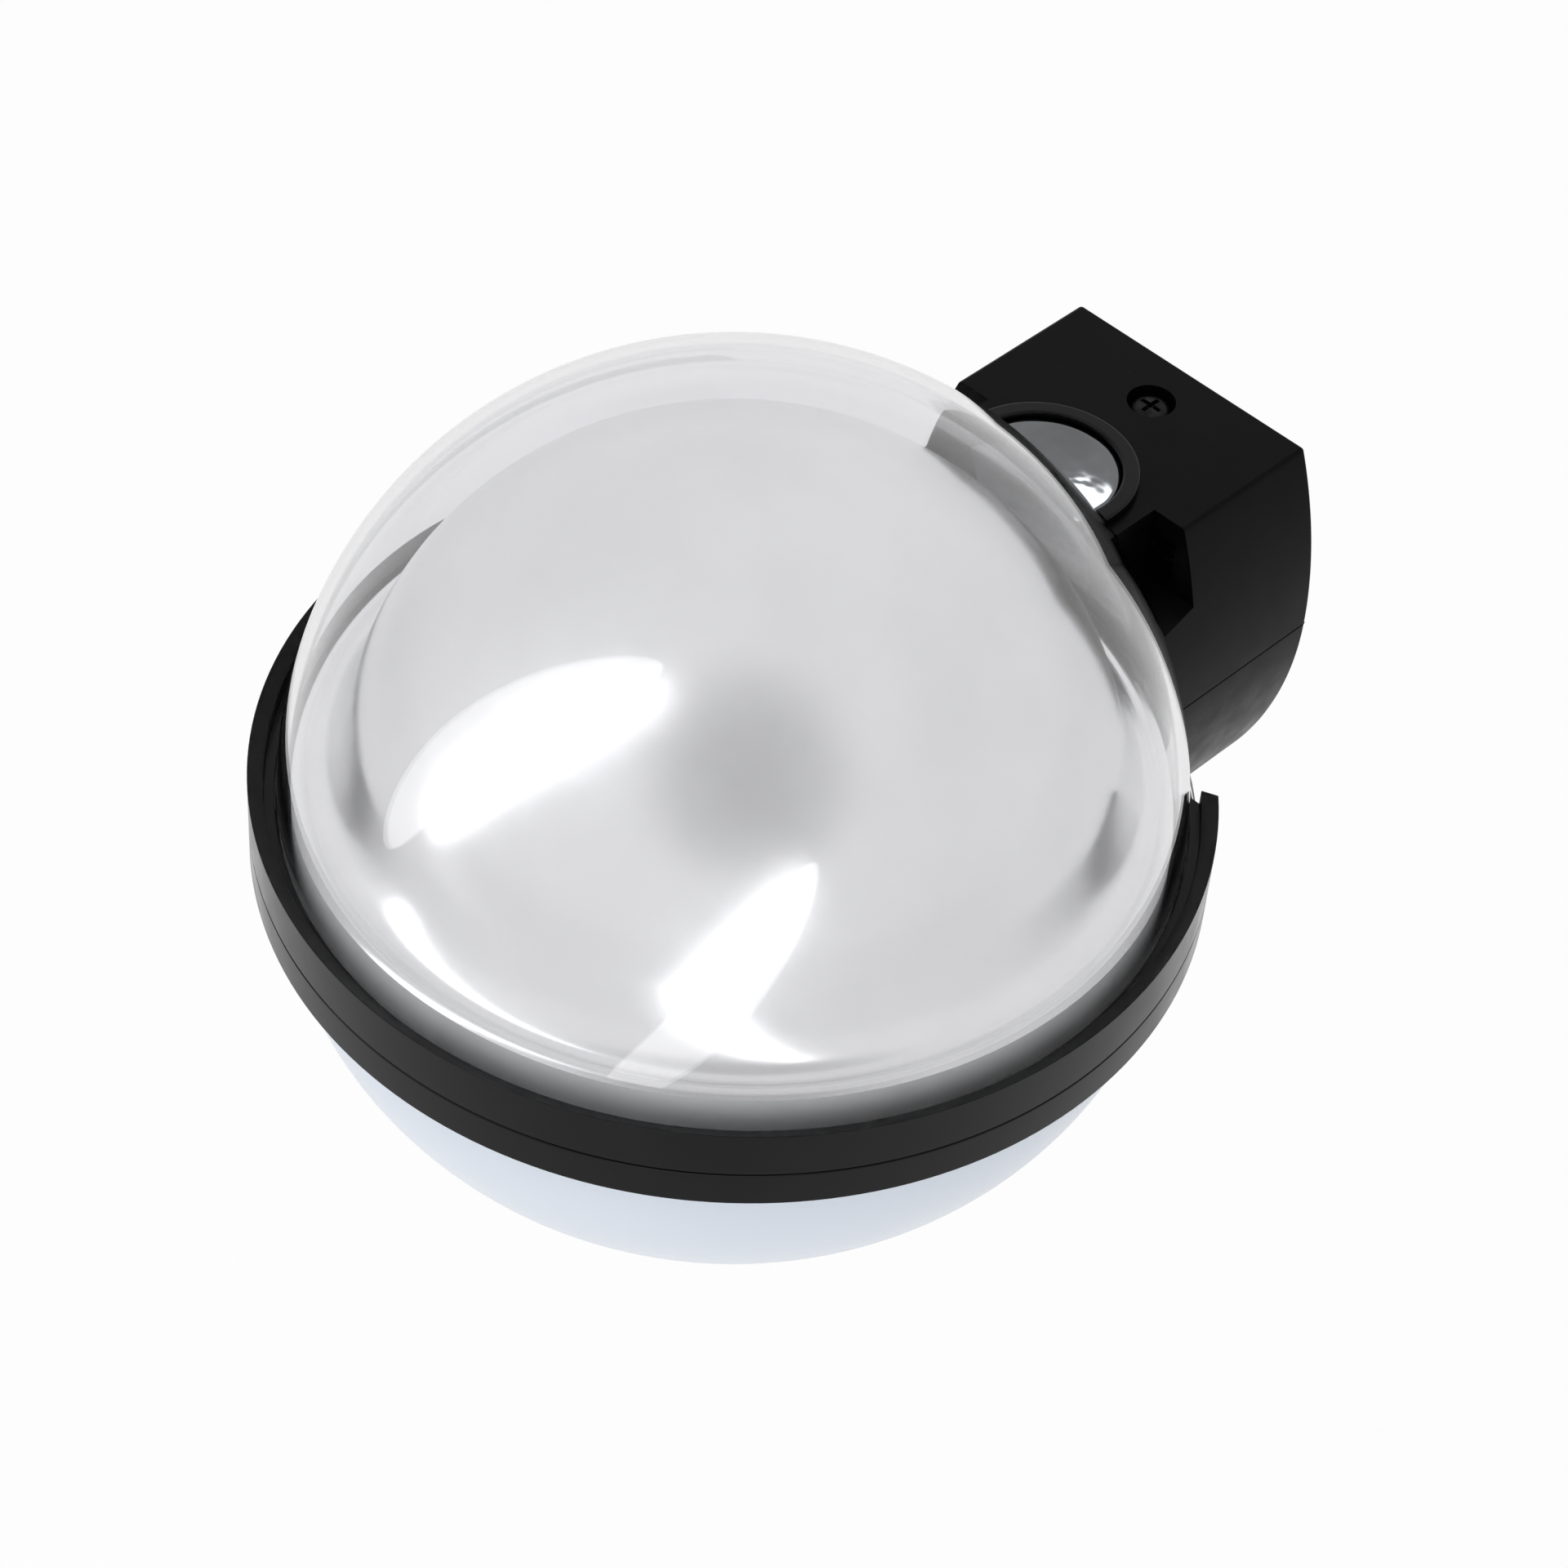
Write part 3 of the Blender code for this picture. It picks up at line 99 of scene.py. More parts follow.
def between(tree, factor, low, high):    # a number that follows a noise from low to high
    return addNode(tree, "ShaderNodeMapRange", {"interpolation_type": "SMOOTHSTEP", "From Min": noiseLow,
                                                "From Max": noiseHigh, "To Min": low, "To Max": high},
                   Value=factor).outputs["Result"]


def tones(tree, factor, dark, light):    # a colour that follows a noise from dark to light
    ramp = addNode(tree, "ShaderNodeValToRGB", Fac=factor)
    ramp.color_ramp.interpolation = "EASE"    # no edge where the noise runs past an end
    ramp.color_ramp.elements[0].position = noiseLow
    ramp.color_ramp.elements[0].color = linear(dark)
    ramp.color_ramp.elements[1].position = noiseHigh
    ramp.color_ramp.elements[1].color = linear(light)
    return ramp.outputs["Color"]


def relief(tree, factor, depth, strength=1.0):    # bumps that follow a noise
    bump = addNode(tree, "ShaderNodeBump", {"Strength": strength, "Distance": depth}, Height=factor)
    return bump.outputs["Normal"]


def finishMaterial(tree, shader):
    addNode(tree, "ShaderNodeOutputMaterial", Surface=shader)


def seenRays(tree, *kinds):    # one for the rays of these kinds
    rays = addNode(tree, "ShaderNodeLightPath")
    seen = rays.outputs[kinds[0]]
    for kind in kinds[1:]:
        either = addNode(tree, "ShaderNodeMath", {"operation": "MAXIMUM"})
        tree.links.new(seen, either.inputs[0])
        tree.links.new(rays.outputs[kind], either.inputs[1])
        seen = either.outputs[0]
    return seen


def blended(tree, factor, first, second):    # the first where the factor is 0, the second where it is 1
    both = addNode(tree, "ShaderNodeMixShader", Fac=factor)
    tree.links.new(first, both.inputs[1])
    tree.links.new(second, both.inputs[2])
    return both.outputs["Shader"]


# every opaque surface: its tones, its roughness and its relief each follow a noise
def surface(name, dark, light, roughLow, roughHigh, patchSize, reliefSize, reliefDepth, fixed=None):
    material, tree = newMaterial(name)
    settings = {"Metallic": 0.0, "IOR": 1.5}
    settings.update(fixed or {})
    shader = addNode(tree, "ShaderNodeBsdfPrincipled", settings,
                     Base_Color=tones(tree, patches(tree, patchSize), dark, light),
                     Roughness=between(tree, patches(tree, patchSize * roughShare), roughLow, roughHigh),
                     Normal=relief(tree, patches(tree, reliefSize, reliefDetail), reliefDepth))
    finishMaterial(tree, shader.outputs["BSDF"])
    return material


# clear material: polished, with the faint waviness of its making; lamps shine through it
clearSettings = {"ior": 1.49, "waveSize": 50 * mm, "waveDetail": 1.0, "waveDepth": 0.01 * mm,
                 "waveStrength": 0.3, "shadow": "#F2F5F6"}


def clearMaterial(s, name, tint, rough):
    material, tree = newMaterial(name)
    waves = relief(tree, patches(tree, s["waveSize"], s["waveDetail"]), s["waveDepth"], s["waveStrength"])
    shader = addNode(tree, "ShaderNodeBsdfPrincipled",
                     {"Base Color": linear(tint), "IOR": s["ior"], "Transmission Weight": 1.0,
                      "Roughness": rough}, Normal=waves)
    seeThrough = addNode(tree, "ShaderNodeBsdfTransparent", {"Color": linear(s["shadow"])})
    finishMaterial(tree, blended(tree, seenRays(tree, "Is Shadow Ray"), shader.outputs["BSDF"],
                                 seeThrough.outputs["BSDF"]))
    return material


materials = {
    # clear moulded acrylic, and the drawn quartz of the flash tube: what is behind them shows sharp
    "clear_plastic": clearMaterial(clearSettings, "clearMouldedAcrylic", "#EEEEF0", 0.015),
    "glass": clearMaterial(clearSettings, "drawnQuartzTube", "#F9FAFB", 0.01),
    # vacuum metallised ABS: a mirror with the slight haze and flow of the moulding under it
    "silvered_plastic": surface("metallisedAbs", "#EEEEED", "#F6F6F5", 0.19, 0.27,
                                55 * mm, 50 * mm, 0.3 * mm, {"Metallic": 1.0}),
    # opal polycarbonate: milky, light spreads inside it and it glows bluish white
    "opal_plastic": surface("opalPolycarbonate", "#DCE4F0", "#DEE6F2", 0.24, 0.27,
                            90 * mm, 45 * mm, 0.02 * mm,
                            {"IOR": 1.585, "Subsurface Weight": 0.2, "Subsurface Scale": 1.0,
                             "Subsurface Radius": (2 * mm, 2.4 * mm, 3 * mm)}),
    # deep black ABS of the bracket: satin, with the fine orange peel of a worn tool
    "black_plastic": surface("mouldedBlackAbs", "#050506", "#0A0A0B", 0.26, 0.36,
                             22 * mm, 1.6 * mm, 0.006 * mm, {"Specular IOR Level": 0.05}),
    # dark chrome plating on ABS: a smoky mirror, with the soft roll of a plated moulding
    "chrome": surface("darkChromePlatedAbs", "#5C5E60", "#66686A", 0.05, 0.10,
                      12 * mm, 8 * mm, 0.14 * mm, {"Metallic": 1.0}),
    # light grey ABS: matt, from a spark-eroded tool
    "light_plastic": surface("texturedGreyAbs", "#C4C5C6", "#CDCECF", 0.42, 0.55,
                             15 * mm, 0.5 * mm, 0.02 * mm),
    "grey_plastic": surface("mouldedGreyNylon", "#7E7F81", "#8A8B8D", 0.40, 0.52,
                            10 * mm, 0.5 * mm, 0.02 * mm),
    "green_plastic": surface("mouldedGreenNylon", "#2F8A4C", "#3A9A58", 0.35, 0.48,
                             8 * mm, 0.5 * mm, 0.02 * mm),
    # silicone rubber: no shine, a little dusty
    "black_rubber": surface("mouldedSilicone", "#1A1A1B", "#242425", 0.70, 0.85,
                            8 * mm, 0.6 * mm, 0.03 * mm),
    # FR4 with solder mask: satin green, with the weave of the glass cloth under it
    "board": surface("solderMaskedFr4", "#0E4A2A", "#17633A", 0.30, 0.42,
                     3 * mm, 0.9 * mm, 0.02 * mm),
    # zinc plated steel: silvery, with the clouding of the passivated plating
    "zinc": surface("zincPlatedSteel", "#BDBFC1", "#D4D6D8", 0.22, 0.38,
                    2 * mm, 0.4 * mm, 0.01 * mm, {"Metallic": 1.0}),
    # black oxide on steel
    "black_steel": surface("blackOxideSteel", "#1A1A1B", "#28282A", 0.34, 0.46,
                           3 * mm, 0.5 * mm, 0.01 * mm, {"Metallic": 1.0}),
    # glazed alumina
    "ceramic": surface("glazedAlumina", "#E6E2D8", "#F0EDE5", 0.28, 0.40,
                       5 * mm, 0.8 * mm, 0.01 * mm),
    # enamelled copper wire
    "copper": surface("enamelledCopper", "#B0643C", "#C77B50", 0.25, 0.40,
                      1.5 * mm, 0.4 * mm, 0.02 * mm, {"Metallic": 1.0}),
    # sintered ferrite
    "ferrite": surface("sinteredFerrite", "#38383B", "#464649", 0.55, 0.70,
                       3 * mm, 0.4 * mm, 0.03 * mm),
    # heat shrunk PET sleeve
    "capacitor_sleeve": surface("shrunkPetSleeve", "#16203F", "#202C52", 0.25, 0.35,
                                6 * mm, 1.0 * mm, 0.02 * mm),
    # extruded PVC insulation
    "red_lead": surface("extrudedPvc", "#A01F18", "#B42B22", 0.35, 0.45,
                        4 * mm, 0.7 * mm, 0.01 * mm),
}
# glossy black ABS of the bands and the collar: polished, so that it mirrors the room more
glossAbs = surface("polishedBlackAbs", "#040405", "#08080A", 0.15, 0.24,
                   30 * mm, 2.5 * mm, 0.006 * mm, {"Specular IOR Level": 0.14})
# the plated cover's bare skirt: natural ABS, masked from the plating
bareAbs = surface("naturalAbs", "#F0F0EE", "#F6F6F4", 0.35, 0.48,
                  15 * mm, 0.5 * mm, 0.01 * mm)
slotOf = {piece["node"]: piece["material_slot"] for piece in frame["record"]["subparts"]}
for nodeName, nodeObject in frame["nodes"].items():
    nodeObject.data.materials.clear()
    nodeObject.data.materials.append(materials[slotOf[nodeName]])
print("materials made")


# sizes read from the frame
def lowHigh(nodeName):
    low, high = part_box(nodeName)
    return Vector(low), Vector(high)


domeLow, domeHigh = lowHigh("upper_dome")
axisY = (domeLow.y + domeHigh.y) / 2
globeAxis = (0, axisY, 0)    # foot of the axis that the domes, the bands and the bowl share
flangeRadius = (domeHigh.x - domeLow.x) / 2
clearRadius = flangeRadius + gap


# mesh helpers
def placed(name, shape):    # an object made of a finished bmesh
    mesh = bpy.data.meshes.new(name)
    shape.to_mesh(mesh)
    shape.free()
    made = bpy.data.objects.new(name, mesh)
    bpy.context.scene.collection.objects.link(made)
    return made


def keep(name, shape, slotName, body, nodeName, material=None):    # a piece that shows in place of a solid
    made = placed(name, shape)
    made.data.materials.append(material or materials[slotName])
    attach(made, body)
    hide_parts(nodeName)
    return made


def spun(profile, centre, steps=roundSteps):    # a (radius, height) outline turned about z
    shape = bmesh.new()
    verts = [shape.verts.new((r, 0.0, z)) for r, z in profile]
    edges = [shape.edges.new((a, b)) for a, b in zip(verts, verts[1:])]
    if profile[0][0] > fine or profile[-1][0] > fine:    # an outline that ends off the axis is closed here
        edges.append(shape.edges.new((verts[-1], verts[0])))
    bmesh.ops.spin(shape, geom=verts + edges, cent=(0, 0, 0), axis=(0, 0, 1), angle=2 * math.pi, steps=steps,
                   use_merge=True)
    bmesh.ops.remove_doubles(shape, verts=shape.verts, dist=fine)
    bmesh.ops.recalc_face_normals(shape, faces=shape.faces)
    bmesh.ops.translate(shape, verts=shape.verts, vec=centre)
    return shape


def pushed(outline, low, high, axis):    # a flat outline pushed along an axis
    shape = bmesh.new()
    spot = {0: lambda a, b: (low, a, b), 1: lambda a, b: (a, low, b), 2: lambda a, b: (a, b, low)}[axis]
    face = shape.faces.new([shape.verts.new(spot(a, b)) for a, b in outline])
    grown = bmesh.ops.extrude_face_region(shape, geom=[face])["geom"]
    step = Vector((0, 0, 0))
    step[axis] = high - low
    bmesh.ops.translate(shape, verts=[v for v in grown if isinstance(v, bmesh.types.BMVert)], vec=step)
    bmesh.ops.recalc_face_normals(shape, faces=shape.faces)
    return shape


def block(low, high):    # a box between two opposite corners
    (x, y, z), (farX, farY, farZ) = low, high
    return pushed([(x, y), (farX, y), (farX, farY), (x, farY)], z, farZ, 2)


def cylinder(radius, centre, low, high, axis, sides=64):    # centre: a point of the plane across its axis
    ring = [(centre[0] + radius * math.cos(2 * math.pi * i / sides),
             centre[1] + radius * math.sin(2 * math.pi * i / sides)) for i in range(sides)]
    return pushed(ring, low, high, axis)


def soften(piece, width, angle=40):    # round the edges that are sharper than this, in degrees
    bevel = piece.modifiers.new("softEdges", "BEVEL")
    bevel.width = width
    bevel.segments = 3
    bevel.limit_method = "ANGLE"
    bevel.angle_limit = math.radians(angle)
    bevel.harden_normals = False
    return bevel


def combine(piece, other, operation):
    change = piece.modifiers.new(operation.lower(), "BOOLEAN")
    change.operation = operation
    change.solver = "EXACT"
    change.object = other


def tool(name, shape, softWidth=0.0):    # a shape that cuts others or joins them, and is gone in the end
    made = placed(name, shape)
    made.hide_render = True
    if softWidth:
        soften(made, softWidth)
    return made


def carve(piece, *tools):
    for other in tools:
        combine(piece, other, "DIFFERENCE")


def fuse(piece, *tools):
    for other in tools:
        combine(piece, other, "UNION")


def settle(piece, tools=(), sharp=32):    # turn the modifiers into the mesh, then shade it
    bpy.context.view_layer.update()
    graph = bpy.context.evaluated_depsgraph_get()
    mesh = bpy.data.meshes.new_from_object(piece.evaluated_get(graph))
    old = piece.data
    piece.modifiers.clear()
    piece.data = mesh
    bpy.data.meshes.remove(old)
    shape = bmesh.new()
    shape.from_mesh(mesh)
    bmesh.ops.remove_doubles(shape, verts=shape.verts, dist=2 * fine)
    bmesh.ops.dissolve_degenerate(shape, edges=shape.edges, dist=fine)
    shape.to_mesh(mesh)
    shape.free()
    mesh.shade_smooth()
    mesh.set_sharp_from_angle(angle=math.radians(sharp))
    weight = piece.modifiers.new("flatFaces", "WEIGHTED_NORMAL")
    weight.keep_sharp = True
    for spent in tools:
        bpy.data.objects.remove(spent, do_unlink=True)
    return piece


def quarter(centreZ, radius, height, start, end, count, power=1.0):    # points on an ellipse, in degrees
    points = []
    for i in range(count + 1):
        angle = math.radians(start + (end - start) * i / count)
        points.append((radius * max(math.cos(angle), 0.0) ** power, centreZ + height * math.sin(angle)))
    return points


def bent(start, corner, end, steps):    # points on a curve from start to end, drawn towards the corner
    shares = [i / steps for i in range(steps + 1)]
    return [tuple(start.lerp(corner, t).lerp(corner.lerp(end, t), t)) for t in shares]


def rounded(points, radius, steps=4, most=0.45):    # round corners, each on this share of a side at most
    out = []
    for i, here in enumerate(points):
        corner = Vector(here)
        before = Vector(points[i - 1]) - corner
        after = Vector(points[(i + 1) % len(points)]) - corner
        reach = min(radius, before.length * most, after.length * most)
        out += bent(corner + before.normalized() * reach, corner, corner + after.normalized() * reach, steps)
    return out


# the camera stands where the photograph's did, worked out from the band, the domes and the bracket
cameraSettings = {"azimuth": 41.35, "elevation": 45.05, "roll": 4.77, "distance": 900 * mm, "lens": 99.49,
                  "right": 10.6 * mm, "up": 3.1 * mm, "clip": 10 * mm}


def makeCamera(s):
    turn = (Matrix.Rotation(math.radians(s["azimuth"]), 3, "Z")
            @ Matrix.Rotation(math.radians(90 - s["elevation"]), 3, "X")
            @ Matrix.Rotation(math.radians(s["roll"]), 3, "Z"))
    data = bpy.data.cameras.new("camera")
    data.lens = s["lens"]
    data.clip_start = s["clip"]
    made = bpy.data.objects.new("camera", data)
    made.rotation_euler = turn.to_euler()
    made.location = Vector(globeAxis) + turn @ Vector((s["right"], s["up"], s["distance"]))
    bpy.context.scene.collection.objects.link(made)
    bpy.context.scene.camera = made


# clear dome: a polished shell with a flange that the band holds down
upperDomeSettings = {"radius": 94.2 * mm, "centreZ": 3.0 * mm, "wall": 2.2 * mm, "flange": 1.8 * mm,
                     "footRound": 0.3 * mm, "arcSteps": 64}


def makeUpperDome(s):
    inside = s["radius"] - s["wall"]
    top = domeLow.z + s["flange"]
    outer = quarter(s["centreZ"], s["radius"], s["radius"], 90, 0, s["arcSteps"])
    foot = rounded([(s["radius"], top), (flangeRadius, top), (flangeRadius, domeLow.z), (inside, domeLow.z)],
                   s["footRound"])
    inner = quarter(s["centreZ"], inside, inside, 0, 90, s["arcSteps"])
    settle(keep("clearDome", spun(outer + foot + inner, globeAxis), "clear_plastic", "base", "upper_dome"))


# silver dome: straighter at its sides than a sphere, flowing into its rim; the skirt below is left unplated
silverDomeSettings = {"radius": 80.5 * mm, "baseZ": 10.0 * mm, "wall": 1.6 * mm, "power": 1.12,
                      "rimRise": 2.3 * mm, "filletRise": 15.0 * mm, "filletRun": 7.0 * mm,
                      "rimRoll": 1.3 * mm, "rollDrop": 0.3 * mm, "flare": 0.8 * mm,
                      "skirtGap": 0.02 * mm, "sharp": 50, "arcSteps": 140, "filletSteps": 18,
                      "rollSteps": 8, "innerStart": 3, "innerSteps": 40}


def makeSilverDome(s):
    low, high = lowHigh("reflector_cover")
    radius, baseZ, wall = s["radius"], s["baseZ"], s["wall"]
    rimRadius = high.x
    height = high.z - baseZ
    slope = s["rimRise"] / (rimRadius - radius)

    def rimAt(r):
        return baseZ + slope * (r - radius)

    full = quarter(baseZ, radius, height, 90, 0, s["arcSteps"], s["power"])
    outer = [point for point in full if point[1] > baseZ + s["filletRise"]]
    start, before = Vector(outer[-1]), Vector(outer[-2])
    down = (start - before).normalized()
    corner = start + down * ((start.y - rimAt(start.x)) / (slope * down.x - down.y))
    end = Vector((radius + s["filletRun"], rimAt(radius + s["filletRun"])))
    fillet = bent(start, corner, end, s["filletSteps"])[1:]
    edge = Vector((rimRadius, rimAt(rimRadius)))
    rollStart, rollEnd = edge - Vector((2 * s["rimRoll"], s["rollDrop"])), edge - Vector((0, s["rimRoll"]))
    roll = bent(rollStart, edge - Vector((s["rimRoll"], 0)), rollEnd, s["rollSteps"])
    lowest = rollEnd.y
    below = [(rimRadius - wall, lowest), (radius, baseZ - wall)]
    inner = quarter(baseZ, radius - wall, height - wall, s["innerStart"], 90, s["innerSteps"], s["power"])
    shape = spun(outer + fillet + roll + below + inner, globeAxis)
    settle(keep("silverDome", shape, "silvered_plastic", "base", "reflector_cover"), sharp=s["sharp"])
    skirtTop = lowest - s["skirtGap"]
    ring = [(rimRadius, skirtTop), (rimRadius + s["flare"], low.z), (rimRadius - wall, low.z),
            (rimRadius - wall, skirtTop)]
    shape = spun(ring, globeAxis)
    settle(keep("silverDomeSkirt", shape, "light_plastic", "base", "reflector_cover", bareAbs))


# the two black C bands, with a fine groove between them; their ends are cut off flat
bandSettings = {"wall": 3.2 * mm, "slope": 1.8 * mm, "edge": 0.55 * mm, "softAngle": 35, "lip": 1.6 * mm,
                "steps": 192}


def makeBand(s, nodeName, upper):
    low, high = lowHigh(nodeName)
    radius = high.x
    inner = radius - s["wall"]
    if upper:
        lipRadius = upperDomeSettings["radius"] + gap
        lipLow = domeLow.z + upperDomeSettings["flange"] + gap
        lipHigh = lipLow + s["lip"]
        outline = [(radius, high.z), (radius, low.z), (inner, low.z), (inner, lipLow), (lipRadius, lipLow),
                   (lipRadius, lipHigh), (inner, lipHigh), (inner, high.z - s["slope"])]
    else:
        lipRadius = bowlSettings["radius"] + gap
        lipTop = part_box("lower_bowl")[1][2] - bowlSettings["flange"] - gap
        outline = [(radius, high.z), (radius, low.z), (lipRadius, low.z), (lipRadius, lipTop),
                   (inner, lipTop), (inner, high.z)]
    name = "upperBand" if upper else "lowerBand"
    band = keep(name, spun(outline, globeAxis, s["steps"]), "black_plastic", "base", nodeName, glossAbs)
    opening = tool(name + "Opening", block((-radius - past, high.y, low.z - past),
                                           (radius + past, 0.0, high.z + past)))
    carve(band, opening)
    soften(band, s["edge"], s["softAngle"])
    settle(band, [opening])


# opal bowl: a deep half ellipsoid under the band
bowlSettings = {"radius": 95.0 * mm, "wall": 2.4 * mm, "flange": 1.8 * mm, "arcSteps": 60, "innerSteps": 40}


def makeBowl(s):
    low, high = lowHigh("lower_bowl")
    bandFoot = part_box("lower_band")[0][2]
    depth = bandFoot - low.z
    inside = s["radius"] - s["wall"]
    rim = [(flangeRadius, high.z), (flangeRadius, high.z - s["flange"]), (s["radius"], high.z - s["flange"])]
    outer = quarter(bandFoot, s["radius"], -depth, 0, 90, s["arcSteps"])
    inner = quarter(bandFoot, inside, s["wall"] - depth, 90, 0, s["innerSteps"])
    shape = spun(rim + outer + inner + [(inside, high.z)], globeAxis)
    settle(keep("opalBowl", shape, "opal_plastic", "base", "lower_bowl"))


# bracket: a barrel section with flat top and bottom, pushed out from the wall
pinLow, pinHigh = lowHigh("hinge_pin")
topZ, bottomZ = lowHigh("bracket_housing")[1].z, lowHigh("terminal_cover")[0].z
seamZ, hingeX = (pinLow.z + pinHigh.z) / 2, (pinLow.x + pinHigh.x) / 2
bracketSettings = {"half": 41.0 * mm, "topHalf": 32.3 * mm, "bottomHalf": 29.0 * mm, "wall": 2.5 * mm,
                   "frontWall": 1.6 * mm, "depth": 40.0 * mm, "frontShare": 0.85, "overlap": 0.5 * mm,
                   "edge": 0.8 * mm, "softAngle": 40, "seamEdge": 0.12 * mm, "seamReach": 1.0 * mm,
                   "steps": 28,
                   "knuckle": 2.2 * mm, "knuckleSteps": 40, "backKnuckle": (-12.0 * mm, -8.0 * mm),
                   "frontKnuckle": (-36.0 * mm, -32.0 * mm), "web": 1.4 * mm, "webLift": 0.63 * mm,
                   "webShort": 0.1 * mm, "webEnd": 1.5 * mm, "bore": 1.1 * mm}


def barrelHalf(z, inset=0.0):    # half width of the section at a height
    s = bracketSettings
    rise, fall = ((topZ - seamZ, s["half"] - s["topHalf"]) if z > seamZ
                  else (bottomZ - seamZ, s["half"] - s["bottomHalf"]))
    radius = (rise * rise + fall * fall) / (2 * fall)
    return s["half"] - inset - (radius - math.sqrt(radius * radius - (z - seamZ) ** 2))


def barrel(low, high, inset=0.0):    # outline of the section between two heights
    steps = bracketSettings["steps"]
    heights = [low + (high - low) * i / steps for i in range(steps + 1)]
    right = [(barrelHalf(z, inset), z) for z in heights]
    return right + [(-x, z) for x, z in reversed(right)]


def barrelShell(name, body, nodeName, low, high):    # nearly sharp at the seam, rounder at its other edges
    s = bracketSettings
    shape = pushed(barrel(low, high), axisY + clearRadius * s["frontShare"], -gap, 1)
    weight = shape.edges.layers.float.new("bevel_weight_edge")
    for edge in shape.edges:
        if edge.calc_face_angle(0.0) > math.radians(s["softAngle"]):
            atSeam = all(abs(vert.co.z - seamZ) < s["seamReach"] for vert in edge.verts)
            edge[weight] = s["seamEdge"] / s["edge"] if atSeam else 1.0
    shell = keep(name, shape, "black_plastic", body, nodeName)
    soften(shell, s["edge"]).limit_method = "WEIGHT"
    return shell


def globeTool(name, radius, rise=0.0):    # the room that the globe needs: a dome on long straight sides
    profile = quarter(upperDomeSettings["centreZ"] + rise, radius, radius, 90, 0, roundSteps // 4)
    return tool(name, spun(profile + [(radius, 2 * bottomZ), (0.0, 2 * bottomZ)], globeAxis))


def roomTools(name, low, high, noseHigh):    # what is hollow in one half of the bracket
    s = bracketSettings
    step = -s["depth"] + s["wall"]
    room = tool(name, pushed(barrel(low, high, s["wall"]), step, past, 1))
    nose = tool(name + "Nose", pushed(barrel(low, noseHigh, s["wall"]), axisY, step + s["overlap"], 1))
    front = globeTool(name + "Front", clearRadius + s["frontWall"])
    carve(nose, front)
    return [room, nose, front]


def knuckleTools(spans, side):    # hinge knuckles and their webs; side is 1 above the seam and -1 below
    s = bracketSettings
    made = []
    near = seamZ + side * s["webLift"]
    webLow, webHigh = sorted((near, near + side * s["web"]))
    for number, (start, end) in enumerate(spans):
        made += [tool(f"knuckle{side}{number}", cylinder(s["knuckle"], (hingeX, seamZ), start, end, 1,
                                                         s["knuckleSteps"])),
                 tool(f"web{side}{number}", block((hingeX, start + s["webShort"], webLow),
                                                  (-s["half"] + s["webEnd"], end - s["webShort"], webHigh)))]
    return made


def hingeHole(name):    # bore for the hinge pin
    s = bracketSettings
    return tool(name, cylinder(s["bore"], (hingeX, seamZ), -s["depth"], 0.0, 1, s["knuckleSteps"]))


# upper half of the bracket: notched beside its neck, with a deck and a well for the button, a sunk lock
# screw, sound ports in its front and a room below for the chassis' tongue
housingSettings = {"neckHalf": 24.0 * mm, "ledgeBackZ": 19.5 * mm, "ledgeFrontZ": 14.5 * mm,
                   "ledgeRun": 20.0 * mm, "deckLow": 8.2 * mm, "deckTop": 10.5 * mm, "deckBack": -31.0 * mm,
                   "deckBite": 0.7 * mm, "bossRadius": 3.0 * mm, "bossX": 12.0 * mm, "bossY": -35.2 * mm,
                   "bossDrop": 0.9 * mm, "pilotRadius": 1.7 * mm, "pilotFoot": -2.0 * mm, "pilotSteps": 32,
                   "buttonY": -49.0 * mm, "wellRadius": 17.1 * mm, "wellSteps": 128, "stemY": -37.3 * mm,
                   "stemRadius": 1.9 * mm, "lockY": -13.7 * mm, "lockWell": 5.4 * mm, "lockBoss": 8.0 * mm,
                   "lockDeep": 4.4 * mm, "lockFloor": 2.7 * mm, "lockHole": 2.3 * mm,
                   "tongueHalf": 20.3 * mm, "tongueShort": 5.0 * mm, "portX": 25.5 * mm,
                   "portWidth": 5.5 * mm, "portZ": 21.5 * mm, "portHeight": 11.5 * mm}


